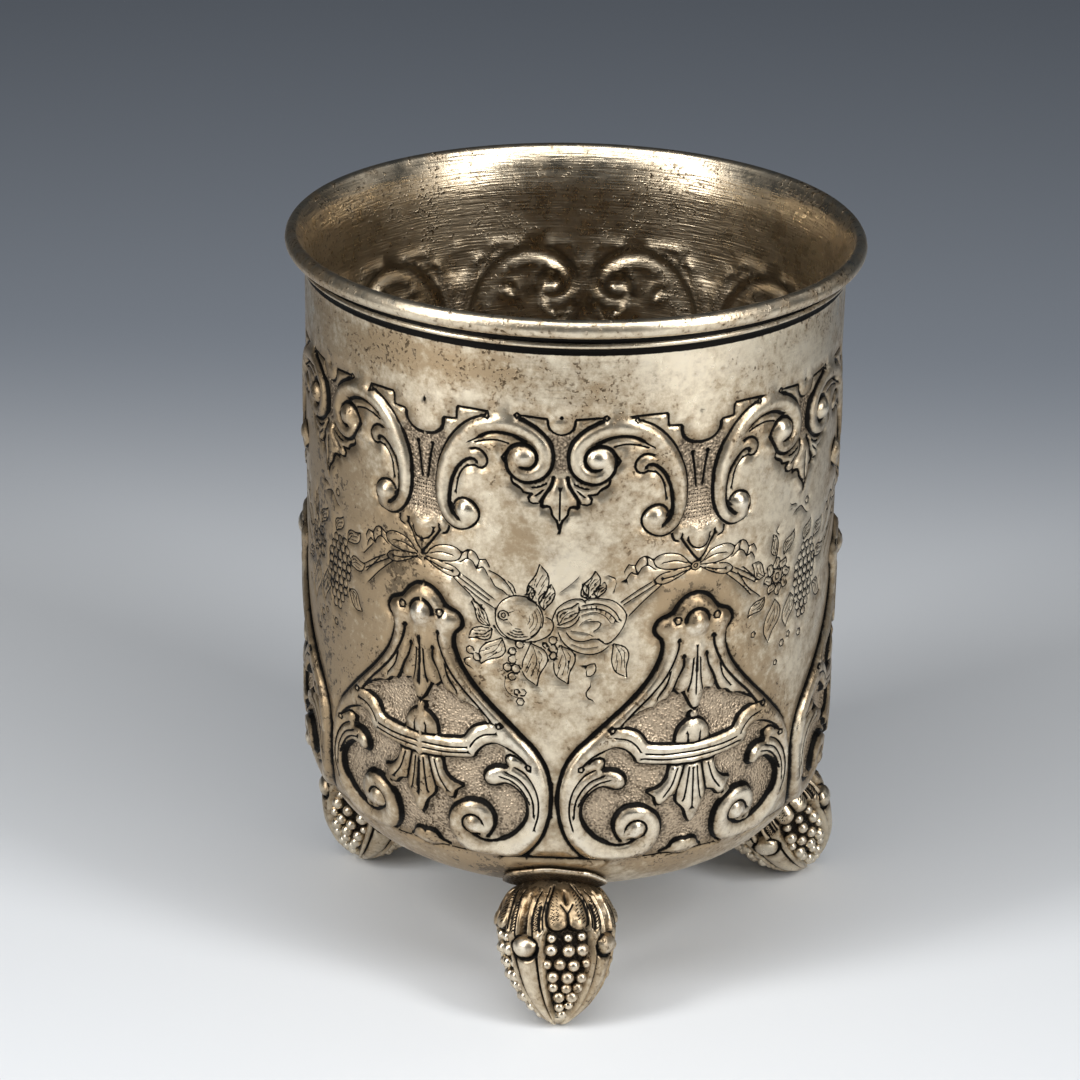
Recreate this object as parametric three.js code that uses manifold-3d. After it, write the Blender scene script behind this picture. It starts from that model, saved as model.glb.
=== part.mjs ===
// A silver beaker on three cast fruit feet: a raised, chased cup with a rounded lower turn and a rolled lip.
// Millimetres, +Z up. The origin is on the cup's axis, at the level that the feet stand on, and the
// front foot is at -Y.
import * as THREE from "three";
import { ConvexHull } from "three/addons/math/ConvexHull.js";
import { mergeGeometries, mergeVertices } from "three/addons/utils/BufferGeometryUtils.js";
import Module from "manifold-3d";

const wasm = await Module();
wasm.setup();

// The cup's profile.
const rimRadius = 40;
const height = 104.3;
const wallTopRadius = 37.25; // outer wall, just under the flare of the lip
const wallBaseRadius = 36.55; // outer wall, where the lower turn begins
const wallTop = 99.5;
const turnTop = 34.02; // height where the lower turn begins
const turnWidth = 14.77; // the lower turn is a quarter ellipse
const turnDrop = 17.54;
const sheet = 1; // thickness of the silver
const lipHeight = 2.6;
const lipDepth = 1.7; // from the lip's outside to its inside
const facets = 48;

// The chased ornament repeats six times round the cup, and each repeat is mirrored about its middle.
// Its pieces are given by x, along the wall from the middle of the front, and s, up the wall from
// where the lower turn begins.
const repeats = 6;
const meanRadius = 37; // radius at which x is measured
const halfRepeat = (Math.PI * meanRadius) / repeats;
const ornamentTop = 58;
const ornamentBase = -12.6;
const stationGap = 2.6; // between the stations of a raised line
const nearest = 1; // no two points of the relief are nearer than this
const plainGap = 3.1; // the same, for the points that keep the plain wall between the pieces round
const plainRows = 4.2; // height between the rows of those points

// The feet splay outwards by different amounts. The one on the right has been bent out.
const stances = [
  { node: "foot_front", lean: 19.6, neckRadius: 28.5, turn: 10 },
  { node: "foot_right", lean: 32, neckRadius: 30, turn: 4 },
  { node: "foot_left", lean: 17, neckRadius: 29.6, turn: 0 },
];
const neckLength = 20.4; // from a foot's tip to the middle of its neck, at neckRadius from the cup's axis
const footLength = 22.5; // reaches into the turn, and is cut off there
const footWear = 0.16; // worn off the tip, which leaves the flat spot that it stands on
const seat = 0.3; // clear space between a foot and the cup
const plateSheet = 0.6; // the plate that each foot is soldered on with
const plateWidth = 14.4;
const plateDepth = 9;
const footColumns = 24;
const footRows = 13;

const silver = new THREE.MeshStandardMaterial({ color: 0xb5ab98, roughness: 0.34, metalness: 1 });
const castSilver = new THREE.MeshStandardMaterial({ color: 0x8f866f, roughness: 0.4, metalness: 1 });

const { lerp, clamp, degToRad } = THREE.MathUtils;
const turn = new THREE.EllipseCurve(
  wallBaseRadius - turnWidth, turnTop, turnWidth, turnDrop, 0, -Math.PI / 2, true);
const turnLength = turn.getLength();

// The outer wall at s, as radius and height, moved outwards by lift.
function wallPoint(s, lift = 0) {
  if (s >= 0) return [lerp(wallBaseRadius, wallTopRadius, s / (wallTop - turnTop)) + lift, turnTop + s];
  const { x: r, y: z } = turn.getPointAt(-s / turnLength);
  const { x: tr, y: tz } = turn.getTangentAt(-s / turnLength);
  return [r - tz * lift, z + tr * lift];
}

function onWall(x, s, lift) {
  const [r, z] = wallPoint(s, lift);
  const a = x / meanRadius;
  return new THREE.Vector3(r * Math.sin(a), -r * Math.cos(a), z);
}

// Places on a spiral round a centre, from one radius and angle (degrees) to another.
function curl([x, s], fromRadius, toRadius, fromAngle, toAngle, steps) {
  return Array.from({ length: steps + 1 }, (_, i) => {
    const r = lerp(fromRadius, toRadius, i / steps);
    const a = degToRad(lerp(fromAngle, toAngle, i / steps));
    return [x + r * Math.cos(a), s + r * Math.sin(a)];
  });
}

// A raised line through a few places, with its stations evenly spaced along a smooth curve.
function line(places, width, lift, shape = () => 1) {
  const curve = new THREE.CatmullRomCurve3(places.map(([x, s]) => new THREE.Vector3(x, s, 0)));
  const steps = Math.max(2, Math.round(curve.getLength() / stationGap));
  const stations = curve.getSpacedPoints(steps).map(({ x, y }, i) => {
    const size = shape(i / steps);
    return { x, s: y, half: (width / 2) * size, lift: lift * Math.sqrt(size) };
  });
  return stations;
}

// A leaf is widest past its middle and runs out to a point. A boss is a round raised spot.
const leaf = (root, tip, width, lift) =>
  line([root, tip], width, lift, (t) => Math.max(Math.sin(Math.PI * (0.2 + 0.8 * t)), 0.05));
const boss = (x, s, radius, lift) => [{ x, s, half: radius, lift }];

// The bell-shaped cartouche. Its places are given from its own centre line.
function cartouche() {
  const eye = [-8, -4];
  const pieces = [
    line([
      [0, 28.6], [-2.6, 27.2], [-4.3, 25], [-3.6, 22.4], [-5.6, 18.2], [-9.3, 14], [-13.6, 9.8],
      [-16.8, 5], [-17.3, 0], [-16, -4.4], [-13, -7.8],
      ...curl(eye, 4.3, 2.3, -110, 190, 6)], 2.8, 1.1),
    line([[-14.6, 6.4], [-12, 9.2], [-9, 8.9], [-6.6, 6.9], [0, 6.6]], 2.8, 1),
    line([[-16, -0.5], [-15, 2.6], [-12.4, 3.9], [-9.9, 3.3]], 2.2, 1),
    boss(...eye, 1.6, 1.2),
    boss(0, 25.6, 2, 1.5),
    boss(0, 10.4, 2.2, 1),
    boss(0, -8.8, 2.3, 0.9),
    leaf([0, 22.5], [0, 13], 3.6, 1),
    leaf([-1.6, 20], [-3.4, 14.4], 2, 0.7),
    leaf([-3.4, 18.6], [-7.4, 13.4], 2, 0.7),
    leaf([0, 5], [0, -4.3], 4.4, 1.1),
    leaf([-2.6, 5], [-5.4, -1], 2.6, 0.9),
  ];
  return pieces.map((stations) => stations.map((p) => ({ ...p, x: p.x + halfRepeat })));
}

// The upper band: a long scroll that curls round an eye beside the front, arches over and
// curls round a second eye beside the cartouche's centre line, with leaves between the scrolls.
function band() {
  const upperEye = [4.9, 50.2];
  const lowerEye = [12.9, 41.5];
  return [
    line([
      ...curl(upperEye, 1.9, 3.3, 0, -260, 6),
      [7.8, 54.3], [11.2, 53.4], [13.8, 50.9], [15.6, 47.2], [16.2, 43.4],
      ...curl(lowerEye, 2.9, 1.9, -35, -190, 4)], 2.3, 1.1),
    line([[10.6, 49.2], [12.6, 48.6], [14, 46.4], [14.5, 43.6]], 1.6, 0.8),
    boss(...upperEye, 1.5, 1.2),
    boss(...lowerEye, 1.4, 1.2),
    leaf([halfRepeat, 43], [halfRepeat, 34.6], 3.4, 1),
    leaf([halfRepeat - 1.4, 40.6], [halfRepeat - 3.6, 37.6], 1.8, 0.7),
    leaf([halfRepeat, 51], [halfRepeat, 45], 1.6, 0.6),
    leaf([0, 48.4], [0, 39.8], 4, 1),
    leaf([1.4, 47.2], [4, 43.6], 2.6, 0.8),
  ];
}

// How far the relief stands out at a place: the highest of the roof-shaped pieces over it.
function reliefAt(pieces, x, s) {
  let most = 0;
  for (const stations of pieces)
    stations.forEach((b, i) => {
      const a = stations[Math.max(i - 1, 0)];
      const [dx, ds] = [b.x - a.x, b.s - a.s];
      const t = clamp(((x - a.x) * dx + (s - a.s) * ds) / (dx * dx + ds * ds || 1), 0, 1);
      const away = Math.hypot(x - a.x - t * dx, s - a.s - t * ds);
      most = Math.max(most, lerp(a.lift, b.lift, t) * (1 - away / lerp(a.half, b.half, t)));
    });
  return most;
}

// The crest of each piece and the two lines along its foot.
function crests(pieces) {
  return pieces.flatMap((stations) => stations.map(({ x, s }) => [x, s]));
}
function feetOf(pieces) {
  return pieces.flatMap((stations) => {
    if (stations.length === 1) return curl([stations[0].x, stations[0].s], stations[0].half,
      stations[0].half, 0, 300, 5);
    return stations.flatMap(({ x, s, half }, i) => {
      const a = stations[Math.max(i - 1, 0)];
      const b = stations[Math.min(i + 1, stations.length - 1)];
      const side = new THREE.Vector2(a.s - b.s, b.x - a.x).setLength(half);
      return [[x + side.x, s + side.y], [x - side.x, s - side.y]];
    });
  });
}

// The points of half a repeat. Those beside its edges are moved onto them, so that the mirrored
// copies meet.
function reliefPoints(pieces) {
  const points = [];
  const halfFacets = facets / repeats / 2;
  for (let i = 0; i <= halfFacets; i++)
    points.push([(halfRepeat * i) / halfFacets, ornamentBase], [(halfRepeat * i) / halfFacets, ornamentTop]);
  for (let [x, s] of [...crests(pieces), ...feetOf(pieces)]) {
    if (x < -0.3 || x > halfRepeat + 0.3 || s < ornamentBase + 1 || s > ornamentTop - 1) continue;
    if (x < nearest / 2) x = 0;
    if (x > halfRepeat - nearest / 2) x = halfRepeat;
    if (points.every(([px, ps]) => Math.hypot(px - x, ps - s) > nearest)) points.push([x, s]);
  }
  const rows = Math.floor((ornamentTop - ornamentBase) / plainRows);
  for (let row = 1; row < rows; row++)
    for (let i = 0; i <= halfFacets; i++) {
      const [x, s] = [(halfRepeat * i) / halfFacets, lerp(ornamentBase, ornamentTop, row / rows)];
      if (points.every(([px, ps]) => Math.hypot(px - x, ps - s) > plainGap)) points.push([x, s]);
    }
  return points;
}

// A Delaunay triangulation: the lower side of the convex hull of the points set on a paraboloid.
function triangulate(points) {
  const bowl = points.map(([x, s]) => new THREE.Vector3(x, s, x * x + s * s));
  const index = new Map(bowl.map((p, i) => [p, i]));
  const faces = [];
  for (const face of new ConvexHull().setFromPoints(bowl).faces) {
    if (face.normal.z > -1e-9) continue;
    const corners = [face.edge, face.edge.next, face.edge.prev].map((e) => index.get(e.head().point));
    const [a, b, c] = corners.map((i) => points[i]);
    const area = (b[0] - a[0]) * (c[1] - a[1]) - (c[0] - a[0]) * (b[1] - a[1]);
    if (Math.abs(area) < 1e-6) continue;
    faces.push(area > 0 ? corners : corners.reverse());
  }
  return faces;
}

function geometryOf(points, faces) {
  return new THREE.BufferGeometry()
    .setAttribute("position", new THREE.Float32BufferAttribute(points.flatMap((p) => [p.x, p.y, p.z]), 3))
    .setIndex(faces.flat());
}

// The ornamented part of the outer wall: half a repeat and its mirror image, six times round.
function chasedWall() {
  const pieces = [...cartouche(), ...band()];
  const points = reliefPoints(pieces);
  const faces = triangulate(points);
  const mirrored = faces.map(([a, b, c]) => [a, c, b]);
  const parts = [];
  for (let i = 0; i < repeats; i++)
    for (const [side, turned] of [[1, faces], [-1, mirrored]]) {
      const placed = points.map(([x, s]) =>
        onWall(side * x + 2 * halfRepeat * i, s, reliefAt(pieces, x, s)));
      parts.push(geometryOf(placed, turned));
    }
  return mergeGeometries(parts);
}

// Turns a profile of [radius, height] pairs about the Z axis.
function turned(profile) {
  const lathe = new THREE.LatheGeometry(profile.map(([r, z]) => new THREE.Vector2(r, z)), facets);
  lathe.deleteAttribute("normal");
  lathe.deleteAttribute("uv");
  return lathe.rotateX(Math.PI / 2);
}

// The lower turn's outline from the flat underside up to the wall, moved inwards by inset.
function turnProfile(inset, steps) {
  return Array.from({ length: steps + 1 }, (_, i) => {
    const a = (Math.PI / 2) * (1 - i / steps);
    return [
      wallBaseRadius - turnWidth + (turnWidth - inset) * Math.cos(a),
      turnTop - (turnDrop - inset) * Math.sin(a),
    ];
  });
}

function solidOf(geometry) {
  const merged = mergeVertices(geometry, 1e-3);
  return new wasm.Manifold(new wasm.Mesh({
    numProp: 3,
    vertProperties: merged.attributes.position.array,
    triVerts: new Uint32Array(merged.index.array),
  }));
}

// The cup: the underside, the chased wall, then over the lip and down the inside to the floor.
function cupBody() {
  const underside = turned([
    [0, turnTop - turnDrop],
    [wallBaseRadius - turnWidth, turnTop - turnDrop],
    ...[-20, -16.4, ornamentBase].map((s) => wallPoint(s)),
  ]);
  const lipBase = height - lipHeight;
  const lipAndInside = turned([
    wallPoint(ornamentTop),
    [wallTopRadius, wallTop],
    [wallTopRadius + 0.5, wallTop + 1.1], // groove, bead and groove under the lip
    [wallTopRadius + 1.1, wallTop + 1.5],
    [wallTopRadius + 0.9, lipBase],
    [rimRadius - 0.4, lipBase + 0.3],
    [rimRadius, lipBase + lipHeight * 0.45],
    [rimRadius - 0.35, height - 0.35],
    [rimRadius - lipDepth / 2, height],
    [rimRadius - lipDepth, height - 0.5],
    [wallTopRadius - sheet, wallTop],
    ...turnProfile(sheet, 5).reverse(),
    [0, turnTop - turnDrop + sheet],
  ]);
  return solidOf(mergeGeometries([underside, chasedWall(), lipAndInside]));
}

// A foot's half width at lengths from its tip.
const footOutline = new THREE.SplineCurve([
  [0.6, 0], [2.05, 0.9], [3.5, 2.05], [4.8, 3.35], [6.3, 5.5], [7.3, 7.9], [7.9, 10.2], [8.2, 12.6],
  [8.2, 13.9], [7.65, 15.9], [6.2, 18.3], [4, 20.4], [3, footLength],
].map(([r, t]) => new THREE.Vector2(r, t)));

// How far the carving of a foot stands out: berries in four panels, a rib on each side of them,
// plain petals with a ball at their head, and the overlapping leaves of the calyx above.
function footCarving(row, column, t) {
  const fromPanel = Math.abs(((column + 3) % 6) - 3); // columns from the middle of the nearest panel
  if (t < 0.5 || t > 20.5) return 0;
  if (t > 14.2) {
    if (fromPanel === 3) return t < 16 ? 0.15 : 0.1;
    return fromPanel === 0 ? 0.1 : -0.35;
  }
  if (fromPanel <= 1) return (row + fromPanel) % 2 === 0 ? 0.15 : -0.75;
  return fromPanel === 2 ? 0 : -0.3;
}

function foot() {
  const points = [];
  const faces = [];
  for (let row = 0; row <= footRows; row++) {
    const { x: r, y: t } = footOutline.getPointAt(row / footRows);
    for (let column = 0; column < footColumns; column++) {
      const a = (2 * Math.PI * column) / footColumns;
      const far = r + footCarving(row, column, t);
      points.push(new THREE.Vector3(far * Math.sin(a), -far * Math.cos(a), t));
    }
  }
  const at = (row, column) => row * footColumns + (column % footColumns);
  const tip = points.push(new THREE.Vector3(0, 0, 0)) - 1;
  const top = points.push(new THREE.Vector3(0, 0, footLength)) - 1;
  for (let column = 0; column < footColumns; column++) {
    faces.push([tip, at(0, column + 1), at(0, column)]);
    faces.push([top, at(footRows, column), at(footRows, column + 1)]);
    for (let row = 0; row < footRows; row++) {
      const [a, b] = [at(row, column), at(row, column + 1)];
      const [c, d] = [at(row + 1, column), at(row + 1, column + 1)];
      const middle = (p, q) => points[p].clone().add(points[q]).setZ(0).length();
      // The crease runs along the lower pair of corners, so that each raised corner is a berry.
      if (middle(a, d) < middle(b, c)) faces.push([a, b, d], [a, d, c]);
      else faces.push([a, b, c], [b, d, c]);
    }
  }
  return solidOf(geometryOf(points, faces));
}

// The space that the cup takes, with clear space round it, to cut the feet and their plates with.
function cupSpace(clearance) {
  const top = turnTop + 10;
  return solidOf(turned([
    [0, turnTop - turnDrop - clearance], ...turnProfile(-clearance, 12),
    [wallBaseRadius + clearance, top], [0, top]]));
}

// The front foot's place, leaning out from its neck, on an oval plate that lies against the cup.
function placedFoot({ lean, neckRadius, turn: own }, cutter, plateSpace) {
  const leaning = foot().rotate([0, 0, own]).rotate([-lean, 0, 0]);
  const tipRadius = neckRadius + neckLength * Math.sin(degToRad(lean));
  const lowest = leaning.boundingBox().min[2];
  const plate = wasm.Manifold.cylinder(turnTop, 0.5, 0.5, 16)
    .scale([plateWidth, plateDepth, 1]).translate([0, -neckRadius, 0]).intersect(plateSpace);
  return leaning.translate([0, -tipRadius, -lowest - footWear]).trimByPlane([0, 0, 1], 0)
    .add(plate).subtract(cutter);
}

function meshOf(name, solid, material) {
  const { vertProperties, triVerts } = solid.getMesh();
  const geometry = new THREE.BufferGeometry()
    .setAttribute("position", new THREE.BufferAttribute(vertProperties, 3))
    .setIndex(new THREE.BufferAttribute(triVerts, 1));
  geometry.computeVertexNormals();
  const mesh = new THREE.Mesh(geometry, material);
  mesh.name = name;
  return mesh;
}

const cup = new THREE.Group();
cup.add(meshOf("cup_body", cupBody(), silver));

const cutter = cupSpace(seat);
const plateSpace = cupSpace(seat + plateSheet);
stances.forEach((stance, i) => {
  const placed = placedFoot(stance, cutter, plateSpace).rotate([0, 0, (360 / stances.length) * i]);
  cup.add(meshOf(stance.node, placed, castSilver));
});

export default cup;
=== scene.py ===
# A chased silver beaker on three cast fruit feet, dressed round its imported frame.
import math
import random

import bmesh
import bpy
import numpy as np
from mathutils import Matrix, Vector
from mathutils.geometry import delaunay_2d_cdt


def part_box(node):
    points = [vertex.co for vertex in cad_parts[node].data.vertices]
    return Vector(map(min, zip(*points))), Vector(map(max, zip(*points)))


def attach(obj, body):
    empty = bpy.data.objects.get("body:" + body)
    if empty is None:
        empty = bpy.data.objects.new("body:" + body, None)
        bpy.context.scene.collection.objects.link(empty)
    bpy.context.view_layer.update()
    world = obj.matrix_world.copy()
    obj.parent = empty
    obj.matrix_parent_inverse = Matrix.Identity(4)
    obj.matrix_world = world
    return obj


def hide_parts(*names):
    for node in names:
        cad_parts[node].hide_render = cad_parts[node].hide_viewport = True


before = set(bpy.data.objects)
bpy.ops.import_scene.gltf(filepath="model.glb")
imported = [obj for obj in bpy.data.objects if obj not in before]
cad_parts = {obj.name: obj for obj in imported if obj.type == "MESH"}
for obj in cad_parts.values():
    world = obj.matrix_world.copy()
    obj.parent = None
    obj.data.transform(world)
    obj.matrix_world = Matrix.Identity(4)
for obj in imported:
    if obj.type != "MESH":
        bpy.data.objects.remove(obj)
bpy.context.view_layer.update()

mm = 0.001  # everything below is drawn in millimetres and scaled by this at the end
cupLow, cupHigh = [Vector(corner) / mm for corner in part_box("cup_body")]

cup = {
    "rimRadius": cupHigh.x,
    "height": cupHigh.z,
    "underside": cupLow.z,
    "wallTopRadius": 37.25,     # outer wall just under the lip
    "wallBaseRadius": 36.55,    # outer wall where the lower turn begins
    "wallTop": 99.5,
    "turnTop": 34.02,           # the lower turn is a quarter ellipse below this height
    "turnWidth": 14.77,
    "sheet": 1.0,               # thickness of the silver
    "lipSheet": 0.55,
    "lipHeight": 2.6,
    "thinsFrom": 20,            # the length up the wall where the sheet begins to thin,
    "thinsOver": 38,            # and how much further it takes
    "insideRelief": 0.95,       # how much of the chased work shows through inside
    "insideBlack": 0.25,
}

ornament = {
    "repeats": 6,               # the chased pattern goes round in sixths, each mirrored in itself
    "meanRadius": 37.0,         # radius at which lengths along the wall are measured
    "top": 58.0,                # s, the length up the wall from where the lower turn begins
    "base": -12.4,
    "stationGap": 0.56,         # between points along a chased line
    "columns": 80,              # plain columns in a third of the way round
    "closeFill": 0.72,          # spacing of the points between lines, on the relief
    "wideFill": 1.15,           # and on the plain wall
    "insideFill": 1.3,          # and inside the cup
    "shownInside": 38.0,        # with finer work above this s, where the inside is seen
    "swelling": 0.85,           # how much of its drawn height a swell gets
    "shadeReach": 0.85,         # how far the painted shade, with some tarnish, spreads from a deep line
    "nearEnough": 2.2,          # and the distance at which it is left out
    "groundEdge": 0.35,         # width over which the matting sets in
    "seamGap": 0.12,            # points along a line stay this far from the seams,
    "shoulderSeamGap": 0.15,    # those beside a line this far,
    "pitSeamGap": 0.1,
    "fillSeamGap": 0.4,
    "linePointGap": 0.12,       # no point of a line is nearer than this to another line's
    "cutPointGap": 0.2,         # or this, on a line that the seam cuts off
    "middlePointGap": 0.11,
    "edgeGap": 0.9,             # between points up the seams
    "showsThrough": 0.3,        # a line's half width must reach this to show inside the cup,
    "softened": 0.2,            # where it is this much wider to each side
    "jitter": 0.06,             # of the points between lines
    "seed": 7,
}
halfRepeat = math.pi * ornament["meanRadius"] / ornament["repeats"]
repeat = 2 * halfRepeat
third = 2 * repeat              # two repeats carry the two garlands, so the wall is made of three alike
seamX = -halfRepeat


def addNode(tree, kind, settings, inputs):
    # inputs are sockets of other nodes, shader amounts or plain values, by name or number
    made = tree.nodes.new(kind)
    for key, value in settings.items():
        setattr(made, key, value)
    for key, value in inputs.items():
        value = getattr(value, "socket", value)
        if isinstance(value, bpy.types.NodeSocket):
            tree.links.new(value, made.inputs[key])
        else:
            made.inputs[key].default_value = value
    return made


def ringFaces(rows, columns):
    # four-sided faces between closed rows of points
    faces = []
    for below in range(0, (rows - 1) * columns, columns):
        above = below + columns
        for i in range(columns):
            n = (i + 1) % columns
            faces.append((below + i, below + n, above + n, above + i))
    return faces


# Curves

def smooth(points, gap):
    # a Catmull-Rom curve through the points, as stations about gap apart
    p = np.array(points, float)
    p = np.vstack([2 * p[0] - p[1], p, 2 * p[-1] - p[-2]])
    stations = []
    for i in range(1, len(p) - 2):
        a, b, c, d = p[i - 1:i + 3]
        steps = max(2, math.ceil(np.linalg.norm(c - b) / gap * 2))
        t = np.linspace(0, 1, steps, endpoint=False)[:, None]
        stations.append(0.5 * (2 * b + (c - a) * t + (2 * a - 5 * b + 4 * c - d) * t ** 2
                               + (3 * b - a - 3 * c + d) * t ** 3))
    dense = np.vstack(stations + [p[-2][None]])
    along = np.concatenate([[0], np.cumsum(np.linalg.norm(np.diff(dense, axis=0), axis=1))])
    count = max(1, round(along[-1] / gap))
    at = np.linspace(0, along[-1], count + 1)
    return np.stack([np.interp(at, along, dense[:, k]) for k in (0, 1)], -1)


def curl(x, s, fromRadius, toRadius, fromAngle, toAngle, steps=8):
    angles = np.radians(np.linspace(fromAngle, toAngle, steps + 1))
    radii = np.linspace(fromRadius, toRadius, steps + 1)
    return [(x + r * math.cos(a), s + r * math.sin(a)) for r, a in zip(radii, angles)]


def ring(x, s, radius):
    return curl(x, s, radius, radius, 0, 360, max(6, round(radius * 8)))


def distanceTo(points, path):
    # from each point to the nearest place on a polyline, or to a single place
    path = np.asarray(path, float)
    if len(path) == 1:
        return np.linalg.norm(points - path[0], axis=1)
    best = np.full(len(points), 1e9)
    for a, b in zip(path[:-1], path[1:]):
        d = b - a
        t = np.clip(((points - a) @ d) / max(d @ d, 1e-12), 0, 1)
        best = np.minimum(best, np.linalg.norm(points - a - t[:, None] * d, axis=1))
    return best


def near(points, path, reach):
    # the points in the box round a path, and their distance to it
    path = np.asarray(path, float)
    low, high = path.min(0) - reach, path.max(0) + reach
    chosen = np.flatnonzero(((points > low) & (points < high)).all(1))
    return chosen, distanceTo(points[chosen], path)


def inside(points, outline):
    outline = np.asarray(outline, float)
    found = np.zeros(len(points), bool)
    for (ax, ay), (bx, by) in zip(outline, np.roll(outline, -1, 0)):
        if ay == by:
            continue
        crosses = (ay > points[:, 1]) != (by > points[:, 1])
        found ^= crosses & (points[:, 0] < (bx - ax) * (points[:, 1] - ay) / (by - ay) + ax)
    return found


def ease(t):
    t = np.clip(t, 0, 1)
    return t * t * (3 - 2 * t)


# The chased pattern. A piece of work is a drawing between two mirror lines, of cut lines by their
# kind, matted grounds sunk between the raised work, by their outlines, broad swells (a path, its
# half width and how far it stands out) and small punched pits (x, s, radius, depth).

# the half width and depth of each kind of line
lineKinds = {
    "border": (0.5, 0.6),
    "deep": (0.45, 0.52),
    "chased": (0.3, 0.38),
    "fine": (0.22, 0.22),
    "engraved": (0.17, 0.13),
    "hair": (0.12, 0.08),
}

# how much black the engraver's lines still hold
engravedInk = {"engraved": 0.86, "hair": 0.64}


def byKind(lines):
    return [(kind, path) for kind, paths in lines.items() for path in paths]


def fitted(work):
    # stretched over half a repeat: x then runs from 0, the small motif's centre line, to
    # halfRepeat, the cartouche's, and everything is mirrored about both
    start, end = work["drawn"]
    scale = halfRepeat / (end - start)

    def fit(points):
        return [((x - start) * scale, s) for x, s in points]
    return {"lines": [(kind, fit(path)) for kind, path in byKind(work["lines"])],
            "grounds": [fit(outline) for outline in work["grounds"]],
            "swells": [(fit(path), half, lift) for path, half, lift in work["swells"]],
            "pits": [(*fit([(x, s)])[0], radius, depth) for x, s, radius, depth in work["pits"]]}


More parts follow.
